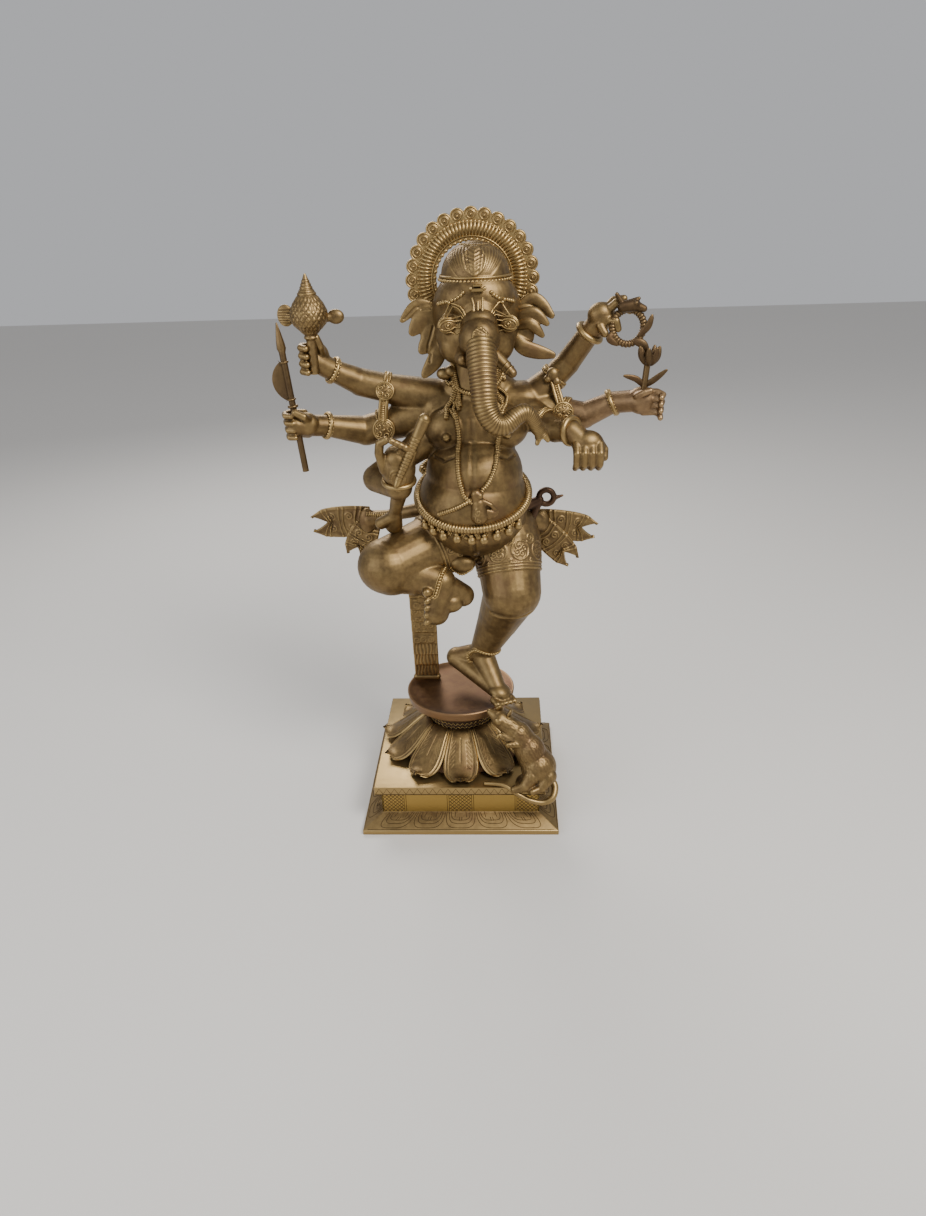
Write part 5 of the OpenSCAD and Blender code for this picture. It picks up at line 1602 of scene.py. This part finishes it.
# %% Hip loop
hl = pelvis + mm(102, 10, 45)
loop_parts = [wire("loop", ring_line(hl, (0, 1, 0), 11, 48), 4.6, True)]
loop_parts += limb(hl + mm(-10, 0, -4), 6.2, pelvis + mm(66, 6, 30), 9) + limb(hl + mm(-12, 0, -12), 5,
        hl + mm(-24, 0, -34), 8) + limb(hl + mm(11, 0, -2), 4, hl + mm(24, 0, 2), 1.8)
# Painted shade: the hip loop gets the darker shaded copy of the brass.
show(wax("hip_loop_sash", loop_parts, grain=1.0, rounds=2), "dark_brass", ["hip_loop"], finish=PAINTED_SHADE_BRASS)

# %% [markdown]
# Two scarf ends fly out on each side of the hips. Each is a thick swallow-tailed ribbon with bands of
# scrolls across it. The ribbon is a grid bent into a slight wave; bands and scrolls are chased into it,
# and a twisted neck joins the two ends to the body.


# %% Scarves
def ribbon(name, root, turn, length, wide, wave=5.0, flip=1):
    """A swallow-tailed ribbon from its root, turned in the picture plane by degrees."""
    bpy.ops.object.select_all(action="DESELECT")
    bpy.ops.mesh.primitive_grid_add(x_subdivisions=84, y_subdivisions=42, size=2)
    piece = bpy.context.object
    a = math.radians(turn)
    along_it, across_it = Vector((flip * math.cos(a), 0, math.sin(a))), Vector((-flip * math.sin(a), 0,
            math.cos(a)))
    for v in piece.data.vertices:
        t, s = (v.co.x + 1) / 2, v.co.y
        reach = t * (1 - 0.3 * (1 - abs(s)) ** 1.2 * max(0, (t - 0.3) / 0.7) ** 1.3)
        width = wide * (0.30 + 0.20 * math.sin(math.pi * min(1,
                0.2 + 0.8 * t)) + 0.12 * t) * (1 - 0.35 * max(0, t - 0.8) / 0.2 * abs(s) ** 2)
        lift = wave * math.sin(t * 5.2) * 0.6 + 2.4 * (1 - s * s) - 3
        ridge = 0.9 * math.exp(-((abs(s) - 0.86) / 0.06) ** 2)
        for band_at in (0.16, 0.24, 0.46, 0.54, 0.76, 0.84):
            ridge += 1.3 * math.exp(-((t - band_at - 0.03 * math.cos(s * 3)) / 0.016) ** 2)
        v.co = root + along_it * reach * length * MM + across_it * s * width * MM + Vector((0, -1,
                0)) * (lift + ridge) * MM
    only(piece)
    if piece.data.polygons[0].normal.y > 0:
        piece.data.flip_normals()
    finish_with("SOLIDIFY", thickness=5 * MM, offset=-1)
    smoothed(piece, 55)
    scrolls = []
    for k, t in enumerate((0.35, 0.65)):
        for s in (-0.42, 0.42):
            c = root + (along_it * length * t + across_it * s * wide * 0.46 + Vector((0, -3, 0))) * MM
            scrolls.append(spiral(c, along_it, across_it, 6.5, 1.4, k + s, 1 if s > 0 else -1))
    chase(piece, scrolls, 1.9, 1.3)
    piece.name = name
    return piece


sl = pelvis + mm(-180, 30, 6)
left_scarf = [ribbon("scarf", sl + mm(14, 0, 2), -6, 96, 46, flip=-1),
              ribbon("scarf", sl + mm(12, -3, -2), -62, 68, 42, flip=-1)]
left_scarf += [wax("scarf_neck",
                   limb(sl + mm(10, 0, 2), 13, sl + mm(40, -4, 8), 9) + limb(sl + mm(40, -4, 8), 9,
                           pelvis + mm(-60, 10, 34), 12)
                   + [mass(sl + mm(8, -3, 0), 17, (0.8, 0.5, 1.2))], grain=1.3, rounds=3)]
left_scarf += [rope("scarf_twist",
                    spline([sl + mm(8, -8, 12), sl + mm(40, -12, 12), sl + mm(80, -12, 20),
                            sl + mm(112, -14, 28)], 8), 3, 3.4, 0.2)]
show(joined("scarf_left_ribbons", left_scarf), "ornament_brass", ["scarf_left"])
sr = pelvis + mm(92, 30, 0)
right_scarf = [ribbon("scarf", sr + mm(0, 2, 0), -13, 92, 44),
               ribbon("scarf", sr + mm(-2, -2, -4), -50, 88, 42)]
right_scarf += [wax("scarf_neck",
                    limb(sr + mm(2, 0, -2), 15, pelvis + mm(56, 12, 14),
                         17) + [mass(sr + mm(2, -2, 0), 17, (0.8, 0.5, 1.2))], grain=1.3, rounds=3)]
show(joined("scarf_right_ribbons", right_scarf), "ornament_brass", ["scarf_right"])

# %% [markdown]
# The mouse stands on its hind legs at the dish's corner and lifts its snout to the figure. Its coat is
# chased: short strokes that follow the body, cut a little below the skin.

# %% Mouse
foot = mm(dish_r + 30, -dish_r - 32, plinth_top)
rump, shoulder, nose = foot + mm(6, 2, 28), foot + mm(-24, 14, 82), mm(49.5, -91.5, 188)
brow = nose + mm(16, -6, -10)
mouse = wax("mouse_body", [mass(rump, 28, (1, 1, 1.05)), mass(foot + mm(-6, 6, 54), 24, (0.95, 0.95, 1.15))]
            + limb(rump + mm(-4, 4, 6), 26, shoulder, 18.5) + limb(shoulder, 17.5, brow, 14) + limb(brow,
                    13.5, nose, 5.5)
            + [mass(nose, 5, (0.9, 0.9, 0.9)), mass(brow + mm(-2, -7, 2), 9, (0.9, 1, 0.9))]
            + limb(rump + mm(-10, -16, -6), 15, rump + mm(-20, -24, -18),
                   10) + limb(rump + mm(-20, -24, -20), 8.5, foot + mm(-32, -26, 5), 6)
            + limb(rump + mm(14, -14, -8), 14, foot + mm(10, -24, 7), 8) + limb(foot + mm(10, -24, 6), 6.5,
                    foot + mm(-4, -32, 5), 5)
            + limb(shoulder + mm(-6, -12, -8), 8, shoulder + mm(-26, -8, 0),
                   5.5) + limb(shoulder + mm(6, -14, -10), 8, shoulder + mm(-16, -20, -8), 5)
            + [mass(foot + mm(-4, -2, 2), 20, (1.3, 1.2, 0.3))], grain=1.2, rounds=3)
strokes = []
spread = np.random.default_rng(4)
spine_line = spline([rump + mm(0, 0, -16), rump, foot + mm(-6, 6, 54), shoulder, brow], 7)
for i, at in enumerate(spine_line[1:-2]):
    ahead = (spine_line[i + 2] - at).normalized()
    turn = ahead.to_track_quat("Z", "Y")
    for k in range(13):
        a = TAU * (k + (i % 2) * 0.5) / 13
        out = turn @ Vector((math.cos(a), math.sin(a), 0))
        hit, place, normal, _ = mouse.closest_point_on_mesh(at + out * 26 * MM)
        swing = out.cross(ahead).normalized() * float(spread.uniform(-1.6, 1.6))
        strokes.append([place - (ahead * 3.4 - swing) * MM, place, place + (ahead * 3.4 + swing) * MM])
chase(mouse, strokes, 1.8, -0.42)
mouse_bits = [mass(brow + mm(6 + s * 8, 4 - s * 6, 11), 9, (0.8, 0.35, 1),
                   (20, 0, 40 + 20 * s)) for s in (-1, 1)]
mouse_bits += [mass(brow + mm(-9 + 3 * s, -7 * s - 4, 5), 2.6, fine=12) for s in (-1, 1)]
mouse_bits += finger([shoulder + mm(-24, -8, 2), shoulder + mm(-31, -9, 3), shoulder + mm(-33, -10, -1)],
                     2.6)
show(joined("mouse_figure", [mouse] + mouse_bits), "cast_brass", ["mouse"])

tail_line = spline([foot + mm(*q) for q in ((22, 0, 10), (31, -10, -1), (27, -23, -13), (13, -27, -19),
                                            (-8, -27, -15),
                                            (-30, -24, -3), (-50, -15, 5.5), (-78, -9, 4.2))], 10)
tail_radii = [6 - 3 * i / (len(tail_line) - 1) for i in range(len(tail_line))]
show(wire("mouse_tail_wire", tail_line, tail_radii, sides=4), "cast_brass", ["mouse_tail"])

# %% [markdown]
# The pins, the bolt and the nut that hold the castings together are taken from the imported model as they
# are. They only get a metal of their own.

# %% Fixings
pinned = ("conch", "axe", "tusk", "noose", "lotus", "lowered", "head", "standing", "raised")
carried_names = [name + "_pin" for name in pinned] + ["tie_bolt", "tie_nut", "mouse_peg"]
for name in carried_names:
    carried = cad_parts[name]
    carried.data.materials.clear()
    carried.data.materials.append(FINISH["fixings"])
print("fixings carried over:", len(carried_names))

# %% [markdown]
# The stage is a plain pale floor with soft light: a large lamp high at the front right, a weaker one from
# the left, and a pale sky. The camera stands a little above the figure and looks down at it.

# %% Floor, light and camera
bpy.ops.object.select_all(action="DESELECT")
bpy.ops.mesh.primitive_plane_add(size=12, location=(0, 0, ground * MM))
floor = bpy.context.object
floor.name = "studio_floor"
paper = bpy.data.materials.new("pale_floor")
paper.use_nodes = True
mottle = node(paper.node_tree, "ShaderNodeTexNoise", None, {"Scale": 3.0, "Detail": 4.0})
tint = blend(paper.node_tree, mottle, (0.62, 0.60, 0.57), (0.68, 0.66, 0.63))
skin = paper.node_tree.nodes["Principled BSDF"]
paper.node_tree.links.new(tint.socket, skin.inputs["Base Color"])
skin.inputs["Roughness"].default_value = 0.85
floor.data.materials.append(paper)

world = bpy.data.worlds.new("studio")
bpy.context.scene.world = world
world.use_nodes = True
world.node_tree.nodes["Background"].inputs["Color"].default_value = (0.86, 0.87, 0.90, 1)
world.node_tree.nodes["Background"].inputs["Strength"].default_value = 0.55


def lamp(name, place, aim, size, watts, colour):
    bpy.ops.object.select_all(action="DESELECT")
    bpy.ops.object.light_add(type="AREA", location=place,
                             rotation=(aim - Vector(place)).to_track_quat("-Z", "Y").to_euler())
    made = bpy.context.object
    made.name = name
    made.data.size, made.data.energy, made.data.color = size, watts, colour
    return made


aim = Vector((0.02, 0, 0.45))
lamps = [lamp("key_lamp", (1.1, -1.3, 2.1), aim, 0.9, 62, (1, 0.97, 0.92)),
         lamp("fill_lamp", (-1.5, -1.2, 1.1), aim, 1.4, 16, (0.92, 0.95, 1)),
         lamp("rim_lamp", (-0.6, 1.5, 1.7), aim, 1.0, 26, (1, 0.98, 0.95))]

look = Vector((-0.04622, 0.90062, -0.43215)).normalized()
right = look.cross(Vector((-0.01182, -0.43307, -0.90128)) * -1).normalized()
up = right.cross(look)
bpy.ops.object.select_all(action="DESELECT")
bpy.ops.object.camera_add(location=(0, 0, 0))
camera = bpy.context.object
camera.matrix_world = Matrix.Translation((0.0776, -1.2599, 0.927)) @ Matrix((right, up,
        -look)).transposed().to_4x4()
camera.data.lens, camera.data.sensor_width, camera.data.shift_x = 26.29, 36, -0.0025
bpy.context.scene.camera = camera
